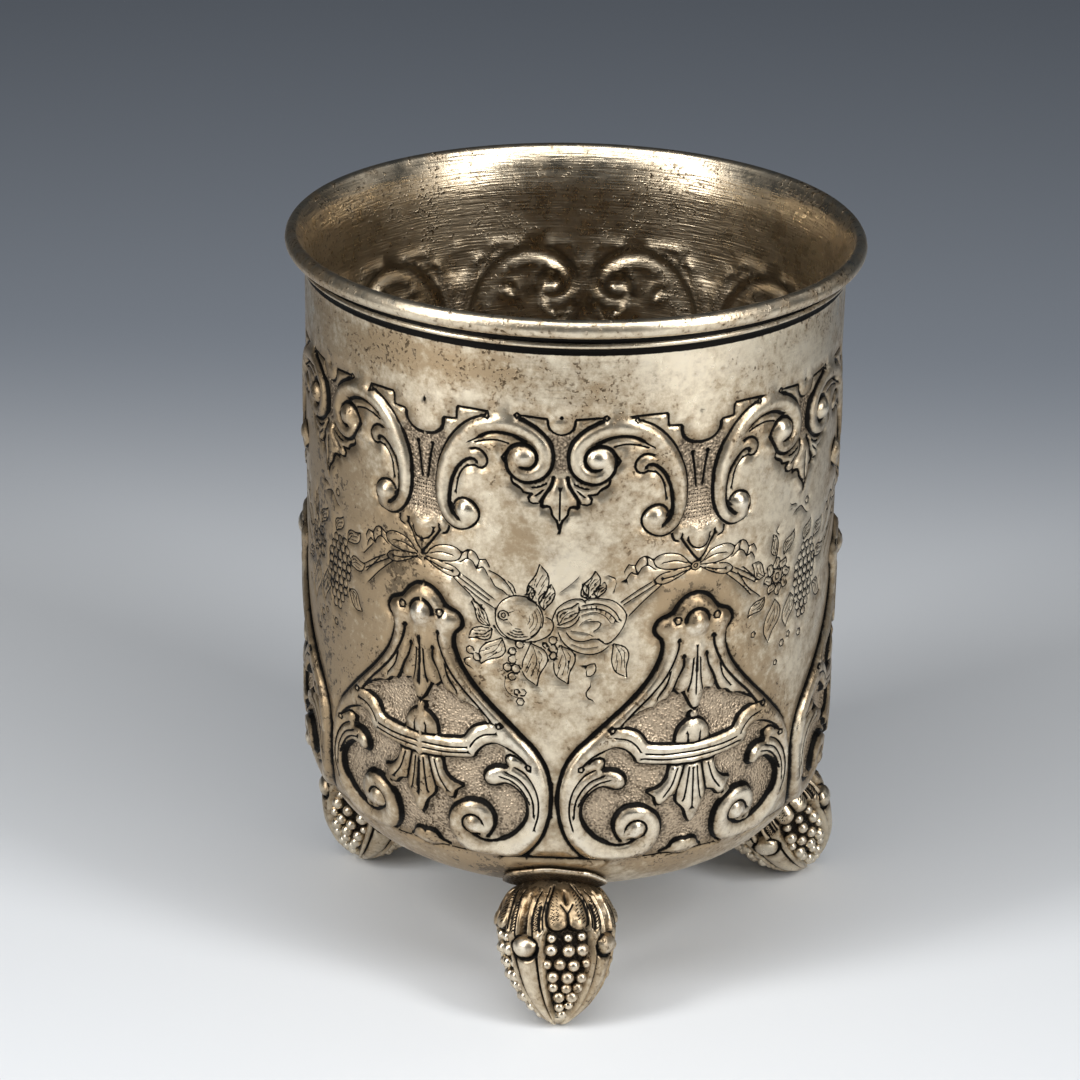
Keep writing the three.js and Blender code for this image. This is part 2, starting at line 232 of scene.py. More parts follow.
def cartoucheWork():
    # drawn with the cartouche's centre line at 19.1; its grounds run along the lines that have names
    skirt = [(19.1, 12.9), (18.5, 13.4), (17.8, 14.8), (17.2, 15.9), (16.8, 15.3), (15.9, 16.1),
             (15.0, 14.8), (14.2, 14.9), (13.3, 14.0), (12.2, 13.9), (10.8, 13.2), (9.6, 12.5)]
    bar = [(8.0, 11.4), (9.4, 11.2), (11.1, 10.6), (12.1, 9.6), (12.7, 8.7), (14.5, 8.35), (16.4, 8.1),
           (19.1, 7.9)]
    ledge = [(3.8, 5.9), (4.6, 6.8), (6.1, 7.8), (8.1, 8.4), (9.7, 7.8), (10.7, 6.7), (11.1, 5.9),
             (13.0, 5.5), (15.7, 5.15), (19.1, 5.0)]
    knot = [(16.4, 8.1), (16.6, 9.7), (17.4, 10.9), (18.4, 11.5), (19.1, 11.6)]
    tassel = [(17.8, 4.9), (17.3, 2.6), (16.8, 0.4), (16.9, -0.7), (17.9, -1.8), (18.4, -3.2), (19.1, -4.2)]
    flounce = [(15.7, 5.0), (15.2, 3.1), (14.0, 1.9), (12.5, 1.4), (13.6, 0.5), (13.8, -0.4), (14.8, -0.8),
               (15.6, 0.1), (16.7, 0.4)]
    leaf = [(6.4, 5.1), (8.1, 5.05), (9.4, 4.2), (9.7, 3.0), (9.2, 2.2), (8.1, 2.1), (6.4, 2.6), (5.0, 1.8),
            (3.9, 0.4), (3.6, -1.2), (4.0, -2.9), (5.3, -4.8), (6.9, -6.1), (9.2, -6.8), (10.8, -6.4),
            (11.7, -5.6)]
    scroll = [(9.3, -6.0), (8.5, -4.9), (8.1, -3.6), (8.2, -2.3), (9.2, -0.9), (10.6, -0.4), (12.5, -0.7),
              (14.2, -2.1), (15.0, -4.0), (14.9, -6.2), (13.9, -8.2), (12.6, -9.3)]
    hem = [(15.7, -9.4), (16.7, -8.4), (17.2, -7.4), (18.3, -6.9), (19.1, -7.0)]
    return {
        "drawn": (0, 19.1),
        "lines": {
            "border": [
                [(19.1, 29.8), (17.8, 29.5), (16.6, 28.6), (15.7, 27.4), (14.8, 26.9), (13.8, 26.5),
                 (13.2, 25.7), (13.1, 24.8), (13.6, 24.1), (14.2, 23.5), (14.3, 22.2), (13.8, 20.4),
                 (12.8, 18.5), (11.1, 16.3), (9.2, 14.3), (6.9, 12.1), (4.7, 9.9), (2.8, 7.9), (1.3, 5.4),
                 (0.55, 2.4), (0.45, -0.4), (0.9, -3.2), (1.8, -5.9), (3.3, -8.3), (4.4, -9.5)],
            ],
            "deep": [
                curl(19.1, 25.9, 1.75, 1.75, 55, 180, 5), leaf, scroll,
                [(0.0, -9.5), (4.0, -9.7), (7.3, -9.9)],
            ],
            "chased": [
                [(16.5, 23.2), (16.4, 22.1), (15.7, 20.2), (14.4, 17.9), (12.5, 15.7), (10.6, 13.8),
                 (8.7, 11.6)],
                [(17.4, 20.7), (17.2, 19.3), (16.4, 17.7), (15.8, 16.1)], skirt,
                curl(19.1, 12.2, 0.75, 0.75, 90, 270, 4), bar, ledge, knot, tassel, flounce,
                [(4.4, 6.3), (5.6, 7.0), (6.6, 6.7), (6.7, 5.9), (6.4, 5.1)],
                curl(11.15, -4.1, 1.45, 1.75, 165, -110, 9), hem,
                [(13.1, -9.9), (16.0, -9.8), (19.1, -10.1)],
            ],
            "fine": [
                [(15.4, 19.0), (14.9, 17.2), (13.6, 15.4)], [(18.6, 20.5), (18.4, 17.6), (18.0, 15.8)],
                [(19.1, 22.0), (19.1, 15.4)], ring(16.2, 26.3, 0.55), ring(7.6, 11.1, 0.42),
                [(8.1, 9.9), (9.6, 9.6), (10.8, 8.7), (11.5, 7.6)],
                [(12.2, 7.3), (15.0, 6.9), (19.1, 6.75)], [(12.0, 6.6), (15.0, 6.1), (19.1, 5.9)],
                ring(3.5, 5.4, 0.45), [(18.2, 8.1), (18.2, 9.3)], [(19.1, 4.6), (19.1, -1.4)],
                [(18.5, 4.4), (18.2, 1.6), (17.9, -0.2)], [(16.8, 4.6), (16.0, 2.2), (14.9, 0.6)],
                [(5.4, 5.2), (3.9, 4.3), (2.7, 2.6), (2.1, 0.6), (2.1, -1.6), (2.6, -3.6)],
                [(6.6, 4.4), (4.8, 3.6), (3.5, 2.0), (2.8, 0.2), (2.7, -1.8)],
                [(7.3, 3.7), (5.7, 3.2), (4.3, 1.9), (3.3, 0.1)],
            ],
        },
        "grounds": [
            [(9.0, 11.7), (9.6, 12.4)] + skirt[10:0:-1] + [(18.35, 12.3)] + knot[3::-1] + bar[5:0:-1],
            [(6.7, 5.9)] + leaf[:13] + [(8.6, -6.3)] + scroll[1:7] + flounce[5::-1] + ledge[7:2:-1]
            + [(6.8, 8.0), (6.6, 6.9)],
            scroll[7:8] + [(13.8, -0.9)] + flounce[6:] + tassel[3:6] + [(19.4, -4.4), (19.4, -7.0)]
            + hem[3::-1] + [(13.2, -9.4)] + scroll[10:7:-1],
        ],
        "swells": [
            ([(15.6, 25.4), (15.5, 22.4), (14.4, 19.0), (11.8, 15.6), (9.0, 12.9), (6.0, 9.8), (3.6, 6.8),
             (2.1, 3.4), (1.7, 0.0), (2.2, -3.2), (3.8, -6.4), (6.4, -8.4), (9.4, -8.7), (12.0, -8.0),
             (13.5, -6.0), (13.6, -3.8), (12.5, -2.1), (10.8, -1.6), (9.5, -2.6), (9.4, -4.2)], 1.35, 0.5),
            ([(9.0, 3.5), (7.0, 4.0), (4.9, 3.4), (3.3, 1.6), (2.7, -1.0), (3.2, -3.4)], 1.2, 0.4),
            ([(11.15, -4.1)], 1.5, 0.95), ([(8.7, 3.5)], 1.3, 0.45), ([(5.3, 6.3)], 1.1, 0.35),
            ([(5.0, 8.0), (8.0, 9.6), (10.4, 9.2), (11.8, 7.6)], 1.2, 0.4),
            ([(11.4, 7.2), (15.0, 6.75), (19.1, 6.5)], 1.5, 0.45), ([(19.1, 9.4)], 2.4, 0.4),
            ([(19.1, 25.5)], 2.0, 1.2), ([(19.1, 28.2), (17.2, 27.4), (15.4, 25.9)], 1.1, 0.35),
            ([(19.1, 12.25)], 0.65, 0.45), ([(19.1, 22.0), (19.1, 17.0), (19.1, 14.0)], 1.3, 0.5),
            ([(17.9, 19.6), (17.4, 17.2), (16.7, 15.9)], 0.8, 0.35),
            ([(16.4, 19.6), (15.2, 16.6), (13.4, 14.9), (11.6, 13.9)], 0.9, 0.35),
            ([(19.1, 4.8), (19.1, 0.0), (19.1, -3.4)], 1.9, 0.5),
            ([(16.9, 4.8), (15.9, 2.2), (14.4, 0.6)], 1.2, 0.45), ([(19.1, -8.8)], 2.2, 0.5),
            ([(8.0, -10.1)], 0.65, 0.5), ([(12.5, -9.95)], 0.6, 0.5),
        ],
        "pits": [(16.5, 23.4, 0.55, 0.55), (17.4, 20.9, 0.5, 0.5), (19.1, -9.2, 0.35, 0.35)],
    }


def bandWork():
    # one half of the small motif and one half of the large one above the cartouche
    sweep = [(9.9, 55.5), (11.7, 54.75), (13.3, 53.5), (14.7, 51.8), (15.7, 50.0), (16.5, 47.8),
             (16.8, 45.7), (16.8, 43.7), (16.5, 42.0), (15.8, 40.4), (15.0, 39.5), (14.0, 38.9),
             (12.9, 38.8), (11.7, 39.3), (10.8, 40.2), (10.5, 41.3), (10.9, 42.4), (11.7, 43.1),
             (12.8, 43.3), (13.7, 42.9), (14.1, 42.1), (14.0, 41.1)]
    return {
        "drawn": (-0.25, 18.7),
        "lines": {
            "deep": [
                [(5.2, 55.5), (4.2, 55.1), (3.0, 54.4), (1.9, 53.4), (1.1, 52.2), (0.75, 50.8), (0.8, 49.4),
                 (1.3, 48.1), (2.4, 47.1), (4.0, 46.6), (5.3, 46.9), (6.4, 47.9), (6.95, 49.2),
                 (6.95, 50.3), (6.3, 51.4), (5.2, 51.95), (4.0, 51.8), (3.1, 51.0), (2.85, 49.9),
                 (3.3, 49.0), (4.0, 48.55), (4.8, 48.7)],
                [(4.5, 52.3), (6.0, 53.0), (7.7, 53.3), (9.3, 53.1), (10.6, 52.4)],
                [(10.9, 48.7), (11.4, 49.15), (12.3, 48.9), (13.3, 48.0), (14.0, 46.8), (14.5, 45.4),
                 (14.7, 43.8), (14.7, 42.3), (14.2, 41.1), (13.3, 40.3)],
                [(15.8, 54.0), (15.85, 53.1), (16.4, 52.2), (17.4, 51.6), (18.7, 51.4)],
                [(0.67, 47.4), (0.9, 46.4), (1.5, 45.3), (2.15, 44.2), (2.1, 43.2)],
            ],
            "chased": [
                curl(-0.25, 55.3, 1.85, 1.8, -90, 5, 4), [(1.6, 55.7), (3.4, 55.85), (5.1, 56.0)],
                [(11.7, 50.5), (10.8, 50.65), (9.9, 50.1), (9.45, 49.1), (9.8, 48.2), (10.5, 47.9),
                 (11.2, 48.2)],
                [(9.4, 56.05), (11.6, 56.15), (13.7, 56.15)], [(13.8, 56.0), (13.85, 54.4)],
                [(13.9, 54.35), (15.7, 54.25)], sweep, [(17.5, 50.1), (17.9, 48.0), (18.2, 45.4)],
                [(14.8, 38.8), (15.0, 38.0), (15.6, 37.7)],
                [(16.3, 38.6), (16.2, 38.0), (16.7, 37.2), (17.5, 36.0), (18.1, 35.2), (18.7, 34.6)],
                [(2.1, 43.1), (1.0, 43.3), (0.75, 42.2), (0.1, 41.4), (-0.25, 39.9)],
                [(6.2, 47.2), (6.0, 46.3), (4.8, 45.6), (4.5, 45.1), (3.3, 45.1), (3.9, 44.6), (3.7, 43.8),
                 (3.0, 43.7), (2.2, 44.0)],
            ],
            "fine": [
                ring(5.6, 55.95, 0.38), [(6.9, 50.7), (7.6, 49.8), (6.9, 49.0)],
                [(10.8, 52.2), (12.0, 51.5)], [(6.6, 51.9), (8.2, 52.2), (9.7, 52.0), (11.2, 51.5)],
                [(11.2, 48.2), (12.2, 48.0), (13.0, 47.2), (13.5, 46.0), (13.8, 44.3)],
                ring(9.6, 55.5, 0.33), curl(18.7, 38.0, 1.6, 1.6, 180, 270, 4),
                [(1.7, 46.6), (2.6, 46.1), (3.4, 46.0)], [(2.0, 45.7), (2.9, 44.9)],
                [(-0.25, 45.6), (-0.25, 41.6)],
            ],
        },
        "grounds": [
            [(16.0, 52.9), (15.0, 51.4)] + sweep[4:10] + [(16.6, 39.6), (19.0, 39.6), (19.0, 51.4),
                                                          (17.4, 51.6), (16.4, 52.2)],
            [(-0.6, 53.4), (1.0, 53.9), (1.7, 53.2), (1.1, 52.2), (0.75, 50.8), (0.8, 49.4), (1.2, 48.3),
             (0.2, 47.6), (-0.6, 47.6)],
        ],
        "swells": [
            ([(6.4, 48.3), (4.6, 47.5), (2.6, 48.3), (1.8, 50.0), (2.1, 52.0), (3.6, 53.6), (6.0, 54.6),
             (9.0, 54.4), (11.4, 53.4), (13.4, 51.4), (14.9, 48.8), (15.7, 46.0), (15.7, 43.2),
             (15.0, 41.0), (13.6, 39.8), (12.0, 39.9)], 1.15, 0.6),
            ([(4.75, 50.2)], 1.75, 1.1), ([(12.35, 41.6)], 1.7, 1.05),
            ([(10.5, 49.4), (12.2, 49.6), (13.8, 47.8)], 0.9, 0.3),
            ([(18.7, 39.8), (18.7, 38.0), (18.7, 35.6)], 1.7, 0.5),
            ([(15.9, 39.0), (15.4, 38.2)], 0.7, 0.3), ([(18.7, 49.8), (18.7, 45.6)], 0.3, 0.4),
            ([(-0.25, 45.8), (-0.25, 43.0), (-0.25, 40.8)], 1.5, 0.5),
            ([(1.6, 46.6), (2.8, 45.2), (3.0, 44.3)], 1.0, 0.35),
            ([(4.6, 46.2), (3.6, 45.8)], 0.8, 0.3),
        ],
        # four pits, and the rows of dots that fan out under the keyhole
        "pits": [(-0.25, 55.9, 0.5, 0.5), (0.67, 47.5, 0.5, 0.45), (18.9, 56.0, 0.55, 0.55),
                 (17.6, 50.0, 0.5, 0.4)]
        + [(18.45 - 0.28 * row - 0.02 * k * row, 44.6 - 0.55 * k, 0.17, 0.14)
           for row in range(5) for k in range(8)],
    }


# The engraved garlands, in their own places along the wall

def leafLines(root, tip, width, veins=2):
    # a leaf that sways a little, with its midrib and pairs of veins
    root, tip = np.array(root, float), np.array(tip, float)
    along = tip - root
    across = np.array([-along[1], along[0]]) / np.linalg.norm(along)

    def at(t, w):
        sway = 0.3 * math.sin(2 * math.pi * t) + w
        return tuple(root + along * t + across * width * 1.15 * sway)
    lines = [("engraved", [at(0, 0), at(0.2, side * 0.7), at(0.45, side), at(0.75, side * 0.6),
                           at(1, 0)]) for side in (1, -1)]
    lines.append(("hair", [at(0.08, 0), at(0.4, 0.1), at(0.7, 0.05)]))
    for k in range(veins):
        t = 0.22 + 0.2 * k
        lines.append(("hair", [at(t, 0.3), at(t + 0.12, 0.5), at(t + 0.3, 0.45)]))
        lines.append(("hair", [at(t + 0.05, -0.3), at(t + 0.3, -0.5)]))
    return lines


def bowLines(x, s):
    # a ribbon tied in a bow, with a crimped tail to each side
    lines = [("engraved", ring(x, s, 0.75)), ("hair", ring(x, s, 0.35))]
    for m in (1, -1):
        shapes = [
            [(0.7, 0.3), (2.4, 1.9), (4.8, 2.3), (6.2, 1.5), (5.4, 0.3), (3.2, -0.1), (0.8, 0.0)],
            [(0.7, -0.3), (2.6, -1.4), (4.8, -2.1), (6.0, -1.5), (5.0, -0.6), (3.0, -0.3)],
            [(1.2, 0.5), (3.0, 1.1), (4.8, 1.0)],
            [(1.4, -0.5), (3.2, -1.1), (4.6, -1.3)],
            [(6.2, 1.5), (7.2, 2.2), (8.2, 1.9), (8.8, 0.9), (9.6, 1.2), (10.2, 0.2)],
            [(6.0, 0.2), (7.0, 0.9), (7.9, 0.5), (8.4, -0.4), (9.3, 0.0), (9.9, -0.9)],
            [(7.2, 2.2), (7.0, 0.9)],
            [(8.8, 0.9), (8.4, -0.4)],
            [(5.6, -1.9), (8.2, -3.4), (10.2, -4.6)],
            [(6.0, -1.4), (8.2, -2.6), (10.6, -4.2)],
            [(5.0, -2.2), (7.4, -4.2), (9.4, -6.2)],
        ]
        lines += [("engraved", [(x + m * px, s + ps) for px, ps in shape]) for shape in shapes]
    return lines


def fruitGarland():
    lines = byKind({
        "engraved": [
            curl(-5.3, 26.95, 3.35, 3.2, -20, 340, 22),
            [(-8.8, 25.6), (-7.6, 24.2), (-6.0, 23.7), (-3.4, 23.7), (-1.4, 24.6), (-0.6, 25.8),
             (-0.7, 26.9), (-1.5, 27.4)],
            ring(-7.4, 27.2, 0.75),
            [(-0.8, 26.9), (-0.2, 28.6), (1.0, 29.7), (2.3, 30.2), (3.3, 30.1), (3.7, 29.6)],
            [(0.0, 26.0), (1.4, 26.0), (2.5, 26.8), (2.9, 27.6)],
            [(3.6, 29.9), (4.4, 30.3), (5.8, 30.2), (7.3, 29.9), (8.6, 28.9), (9.3, 27.6), (8.9, 26.0),
             (8.0, 24.6), (7.0, 23.7), (6.2, 23.7), (5.6, 24.4)],
            [(3.3, 29.2), (5.0, 29.5), (6.6, 29.1), (7.8, 28.1), (8.3, 27.2)],
            [(3.2, 28.6), (5.0, 28.8), (6.4, 28.4), (7.4, 27.6), (7.9, 26.9)],
            [(4.4, 26.9), (5.8, 26.8), (5.6, 26.0), (4.9, 25.5)],
            [(1.2, 25.2), (2.0, 24.3), (3.4, 24.0), (5.0, 24.4), (6.2, 23.9)],
            [(0.1, 25.2), (0.9, 23.7), (2.6, 22.5), (4.5, 22.1), (6.0, 22.5), (6.9, 23.2)],
            [(4.1, 20.5), (5.1, 20.8), (5.3, 19.8), (4.8, 19.0), (4.1, 18.9), (4.0, 19.5)],
            [(4.6, 17.4), (4.0, 16.4), (4.3, 15.7), (4.9, 15.4)],
            [(-12.2, 19.1), (-12.9, 19.4), (-12.8, 20.1), (-12.2, 20.4)],
            curl(-4.6, 16.2, 0.55, 0.5, -120, 70, 5), [(-13.0, 30.6), (-10.6, 29.1), (-8.5, 28.0)],
            [(-9.4, 33.4), (-8.0, 32.8), (-6.8, 31.6), (-6.1, 30.4)],
            [(-9.2, 32.2), (-8.6, 31.2), (-7.6, 30.8), (-6.8, 30.1)],
            [(-7.2, 32.4), (-6.2, 31.7), (-5.8, 30.7)], [(6.7, 33.5), (7.6, 33.1)],
        ],
        "hair": [
            ring(-7.4, 27.2, 0.35), [(-6.7, 27.6), (-6.1, 27.9)], [(-6.8, 26.7), (-6.4, 26.1)],
            [(3.2, 27.8), (4.8, 28.3), (6.3, 27.7), (7.2, 26.6)],
            [(2.0, 25.5), (3.6, 25.3), (4.6, 24.9)], [(3.0, 26.4), (3.6, 27.0), (4.4, 27.3)],
            [(2.0, 23.6), (3.6, 23.0), (5.4, 23.2)],
            [(-7.0, 18.4), (-7.1, 16.8), (-6.3, 15.7), (-5.3, 15.4)], [(7.8, 32.4), (7.6, 31.6)],
            [(0.4, 31.2), (1.6, 32.2), (2.6, 33.2)],
        ],
    })
    for k in range(4):          # shading round the apple
        right = curl(-5.0, 27.0, 2.9 - 0.55 * k, 2.7 - 0.5 * k, -62 + 7 * k, 38 - 6 * k, 7)
        under = curl(-5.3, 27.0, 2.8 - 0.4 * k, 2.8 - 0.4 * k, 235 + 6 * k, 292 - 4 * k, 5)
        lines += [("hair", right), ("hair", under)]
    for k in range(7):          # seeds in the open pod
        a = k / 6
        drop = 2.2 * a * a
        lines.append(("hair", [(3.8 + 4.0 * a, 29.2 - drop), (3.9 + 3.7 * a, 28.8 - drop)]))
    for x, s, r in [(-5.1, 23.2, 0.62), (-6.1, 22.1, 0.55), (-6.1, 20.9, 0.62), (-6.8, 19.7, 0.62),
                    (-5.6, 19.6, 0.66), (-6.1, 18.4, 0.6), (-0.6, 24.1, 0.6), (-0.6, 22.9, 0.55),
                    (-0.5, 21.8, 0.55), (-12.1, 21.5, 0.6), (-11.1, 20.6, 0.6), (-5.4, 16.2, 0.45),
                    (-4.9, 14.8, 0.58), (-1.6, 23.3, 0.4)]:
        lines.append(("engraved", ring(x, s, r)))
    for root, tip, width in [((-2.7, 29.0), (-2.6, 35.0), 1.2), ((-1.9, 28.4), (-1.0, 32.2), 0.8),
                             ((-3.6, 29.6), (-3.9, 31.8), 0.5), ((4.2, 30.4), (4.9, 34.2), 0.9),
                             ((5.2, 30.4), (6.2, 32.6), 0.6), ((3.9, 30.3), (3.2, 32.4), 0.5),
                             ((-3.6, 23.5), (-2.6, 17.3), 1.5), ((0.3, 23.4), (1.6, 17.8), 1.3),
                             ((-9.0, 25.1), (-12.3, 23.2), 0.9), ((-7.6, 23.9), (-10.5, 19.7), 1.2),
                             ((-9.3, 25.4), (-12.0, 28.6), 0.7), ((7.6, 23.6), (9.6, 18.6), 1.1),
                             ((0.2, 26.3), (2.7, 29.6), 0.9)]:
        lines += leafLines(root, tip, width)
    return lines


def grapeGarland(middle):
    lines = []
    for row, count in enumerate([3, 4, 5, 5, 5, 4, 4, 3, 2]):     # a bunch, fuller at its shoulder
        for k in range(count):
            x = middle + 2.6 + 1.25 * (k - (count - 1) / 2) - 0.12 * row
            lines.append(("engraved", ring(x, 31.2 - 1.22 * row, 0.62)))
    flowerX, flowerS, petals = middle - 4.9, 28.8, 8
    for k in range(petals):
        a = 2 * math.pi * k / petals
        lines += leafLines((flowerX + 1.1 * math.cos(a), flowerS + 1.1 * math.sin(a)),
                           (flowerX + 2.9 * math.cos(a + 0.15), flowerS + 2.9 * math.sin(a + 0.15)), 0.7, 0)
    lines += [("engraved", ring(flowerX, flowerS, 1.05)), ("hair", ring(flowerX, flowerS, 0.5))]
    for root, tip, width in [((-5.2, 25.5), (-6.3, 19.4), 1.3), ((-7.6, 29.6), (-10.2, 31.9), 0.9),
                             ((-3.6, 31.6), (-1.2, 34.6), 0.8), ((-5.2, 31.8), (-6.2, 35.2), 0.7),
                             ((1.4, 32.2), (3.4, 34.8), 0.8), ((4.6, 31.6), (7.6, 33.8), 0.9),
                             ((5.2, 28.4), (8.6, 29.6), 0.9), ((4.8, 24.6), (8.0, 22.4), 0.9),
                             ((-1.6, 25.4), (-2.4, 20.6), 1.1), ((-7.4, 26.4), (-10.6, 24.2), 0.8)]:
        lines += leafLines((middle + root[0], root[1]), (middle + tip[0], tip[1]), width, 1)
    for x, s, r in [(-3.2, 18.4, 0.55), (-1.7, 19.3, 0.5), (1.2, 18.6, 0.55), (-4.5, 15.9, 0.45),
                    (1.9, 37.9, 0.55), (-9.4, 21.4, 0.5)]:
        lines.append(("engraved", ring(middle + x, s, r)))
    tendrils = [[(-2.2, 38.4), (-1.2, 38.3)], [(-1.2, 37.2), (0.2, 37.6), (1.2, 36.7), (1.9, 36.1)],
                [(-5.2, 36.0), (-5.5, 35.4), (-4.9, 34.9)], [(-12.6, 31.2), (-10.8, 28.8), (-8.6, 27.0)],
                [(-11.8, 32.0), (-9.8, 30.2)], [(10.2, 33.0), (8.4, 31.2)], [(11.6, 31.4), (9.0, 28.8)]]
    lines += [("engraved", [(middle + x, s) for x, s in path]) for path in tendrils]
    return lines


class Pattern:
    # Chased work drawn over half a repeat and mirrored about both its ends. areas are raised or sunk
    # places: outline, lift, width of the slope at the edge, and whether the ground is matted.
    def __init__(self, half, lines, swells, areas, pits, gap):
        self.half = half
        self.lines = [(kind, smooth(points, gap)) for kind, points in lines]
        self.swells = [(smooth(points, gap) if len(points) > 1 else np.array(points), width, lift)
                       for points, width, lift in swells]
        self.areas = areas
        self.pits = pits
        self.loose = []         # lines that aren't mirrored, in their own places

    def folded(self, places):
        x = np.mod(places[:, 0], 2 * self.half)
        return np.stack([np.minimum(x, 2 * self.half - x), places[:, 1]], -1)

    def toEdge(self, points, outline):
        # to the nearest side of the outline, leaving out sides on the mirror lines
        best = np.full(len(points), 1e9)
        for a, b in zip(outline, outline[1:] + outline[:1]):
            if min(a[0], b[0]) > self.half - 0.05 or max(a[0], b[0]) < 0.05:
                continue
            best = np.minimum(best, distanceTo(points, [a, b]))
        return best

    def shape(self, places, soften=0.0):
        # height, how far into a cut line, how far onto matted ground, and how near a deep line
        p = self.folded(places)
        level, ground, swell, cut, line, closeness = np.zeros((6, len(p)))
        for outline, lift, slope, isMatted in self.areas:
            chosen = np.flatnonzero(inside(p, outline))
            away = self.toEdge(p[chosen], outline)
            level[chosen] += lift * ease(away / (slope + soften))
            if isMatted:
                ground[chosen] = ease(away / ornament["groundEdge"])
        for path, width, lift in self.swells:
            chosen, away = near(p, path, width)
            t = np.clip(1 - (away / width) ** 2, 0, 1)
            swell[chosen] = np.maximum(swell[chosen], lift * t ** 0.7)
        for kind, path in self.lines:
            half, depth = lineKinds[kind]
            chosen, away = near(p, path, ornament["nearEnough"])
            t = np.clip(1 - away / (half + soften), 0, 1)
            line[chosen] = np.maximum(line[chosen], t)
            cut[chosen] = np.minimum(cut[chosen], -depth * (t if soften == 0 else 0.75 * ease(t)))
            # painted shade, with some tarnish, darkening the metal near each deep line; it is kept as
            # closeness
            darkening = np.exp(-away / ornament["shadeReach"]) * depth / lineKinds["border"][1]
            closeness[chosen] = np.maximum(closeness[chosen], darkening)
        for x, s, r, depth in self.pits:
            if soften and r < 0.3:
                continue
            chosen, away = near(p, [(x, s)], r + soften)
            t = np.clip(1 - away / (r + soften), 0, 1)
            line[chosen] = np.maximum(line[chosen], np.minimum(1, 1.6 * t))
            cut[chosen] = np.minimum(cut[chosen], -depth * ease(1.4 * t))
        if soften == 0:
            for kind, path in self.loose:
                half, depth = lineKinds[kind]
                chosen, away = near(places, path, half)
                t = np.clip(1 - away / half, 0, 1)
                line[chosen] = np.maximum(line[chosen], t * engravedInk[kind])
                cut[chosen] = np.minimum(cut[chosen], -depth * t)
        level += ornament["swelling"] * swell * (1 - ground)
        return level + cut, line, ground, closeness


def cupPattern():
    low, high = fitted(cartoucheWork()), fitted(bandWork())
    lines = low["lines"] + high["lines"]
    border = list(map(tuple, smooth(lines[0][1], 1.0)))
    bell = border + [(halfRepeat + 1, -9.6), (halfRepeat + 1, 29.8)]
    areas = [(bell, 0.45, 1.1, False)]
    areas += [(outline, -0.9, 0.45, True) for outline in low["grounds"]]
    areas += [(outline, -0.35, 0.4, True) for outline in high["grounds"]]
    pattern = Pattern(halfRepeat, lines, low["swells"] + high["swells"], areas,
                      low["pits"] + high["pits"], ornament["stationGap"])
    garlands = (fruitGarland() + grapeGarland(repeat) + bowLines(halfRepeat - 0.3, 33.8)
                + bowLines(halfRepeat + repeat - 0.3, 33.8))
    for kind, points in garlands:
        path = smooth(points, ornament["stationGap"])
        for shift in (-third, 0, third):
            moved = path + (shift, 0)
            if moved[:, 0].max() > seamX - 1 and moved[:, 0].min() < seamX + third + 1:
                pattern.loose.append((kind, moved))
    return pattern


# The wall as a flat net of triangles, lines first, then even points between them

class PointSet:
    # points sorted into square cells, so that near ones are found fast
    def __init__(self, cell):
        self.cell = cell
        self.cells = {}
        self.points = []

    def key(self, p):
        return int(p[0] // self.cell), int(p[1] // self.cell)

    def crowded(self, p, gap):
        reach = math.ceil(gap / self.cell)
        kx, ky = self.key(p)
        for i in range(kx - reach, kx + reach + 1):
            for j in range(ky - reach, ky + reach + 1):
                for q in self.cells.get((i, j), ()):
                    if (q[0] - p[0]) ** 2 + (q[1] - p[1]) ** 2 < gap * gap:
                        return True
        return False

    def add(self, p):
        p = (float(p[0]), float(p[1]))
        self.cells.setdefault(self.key(p), []).append(p)
        self.points.append(p)
        return len(self.points) - 1


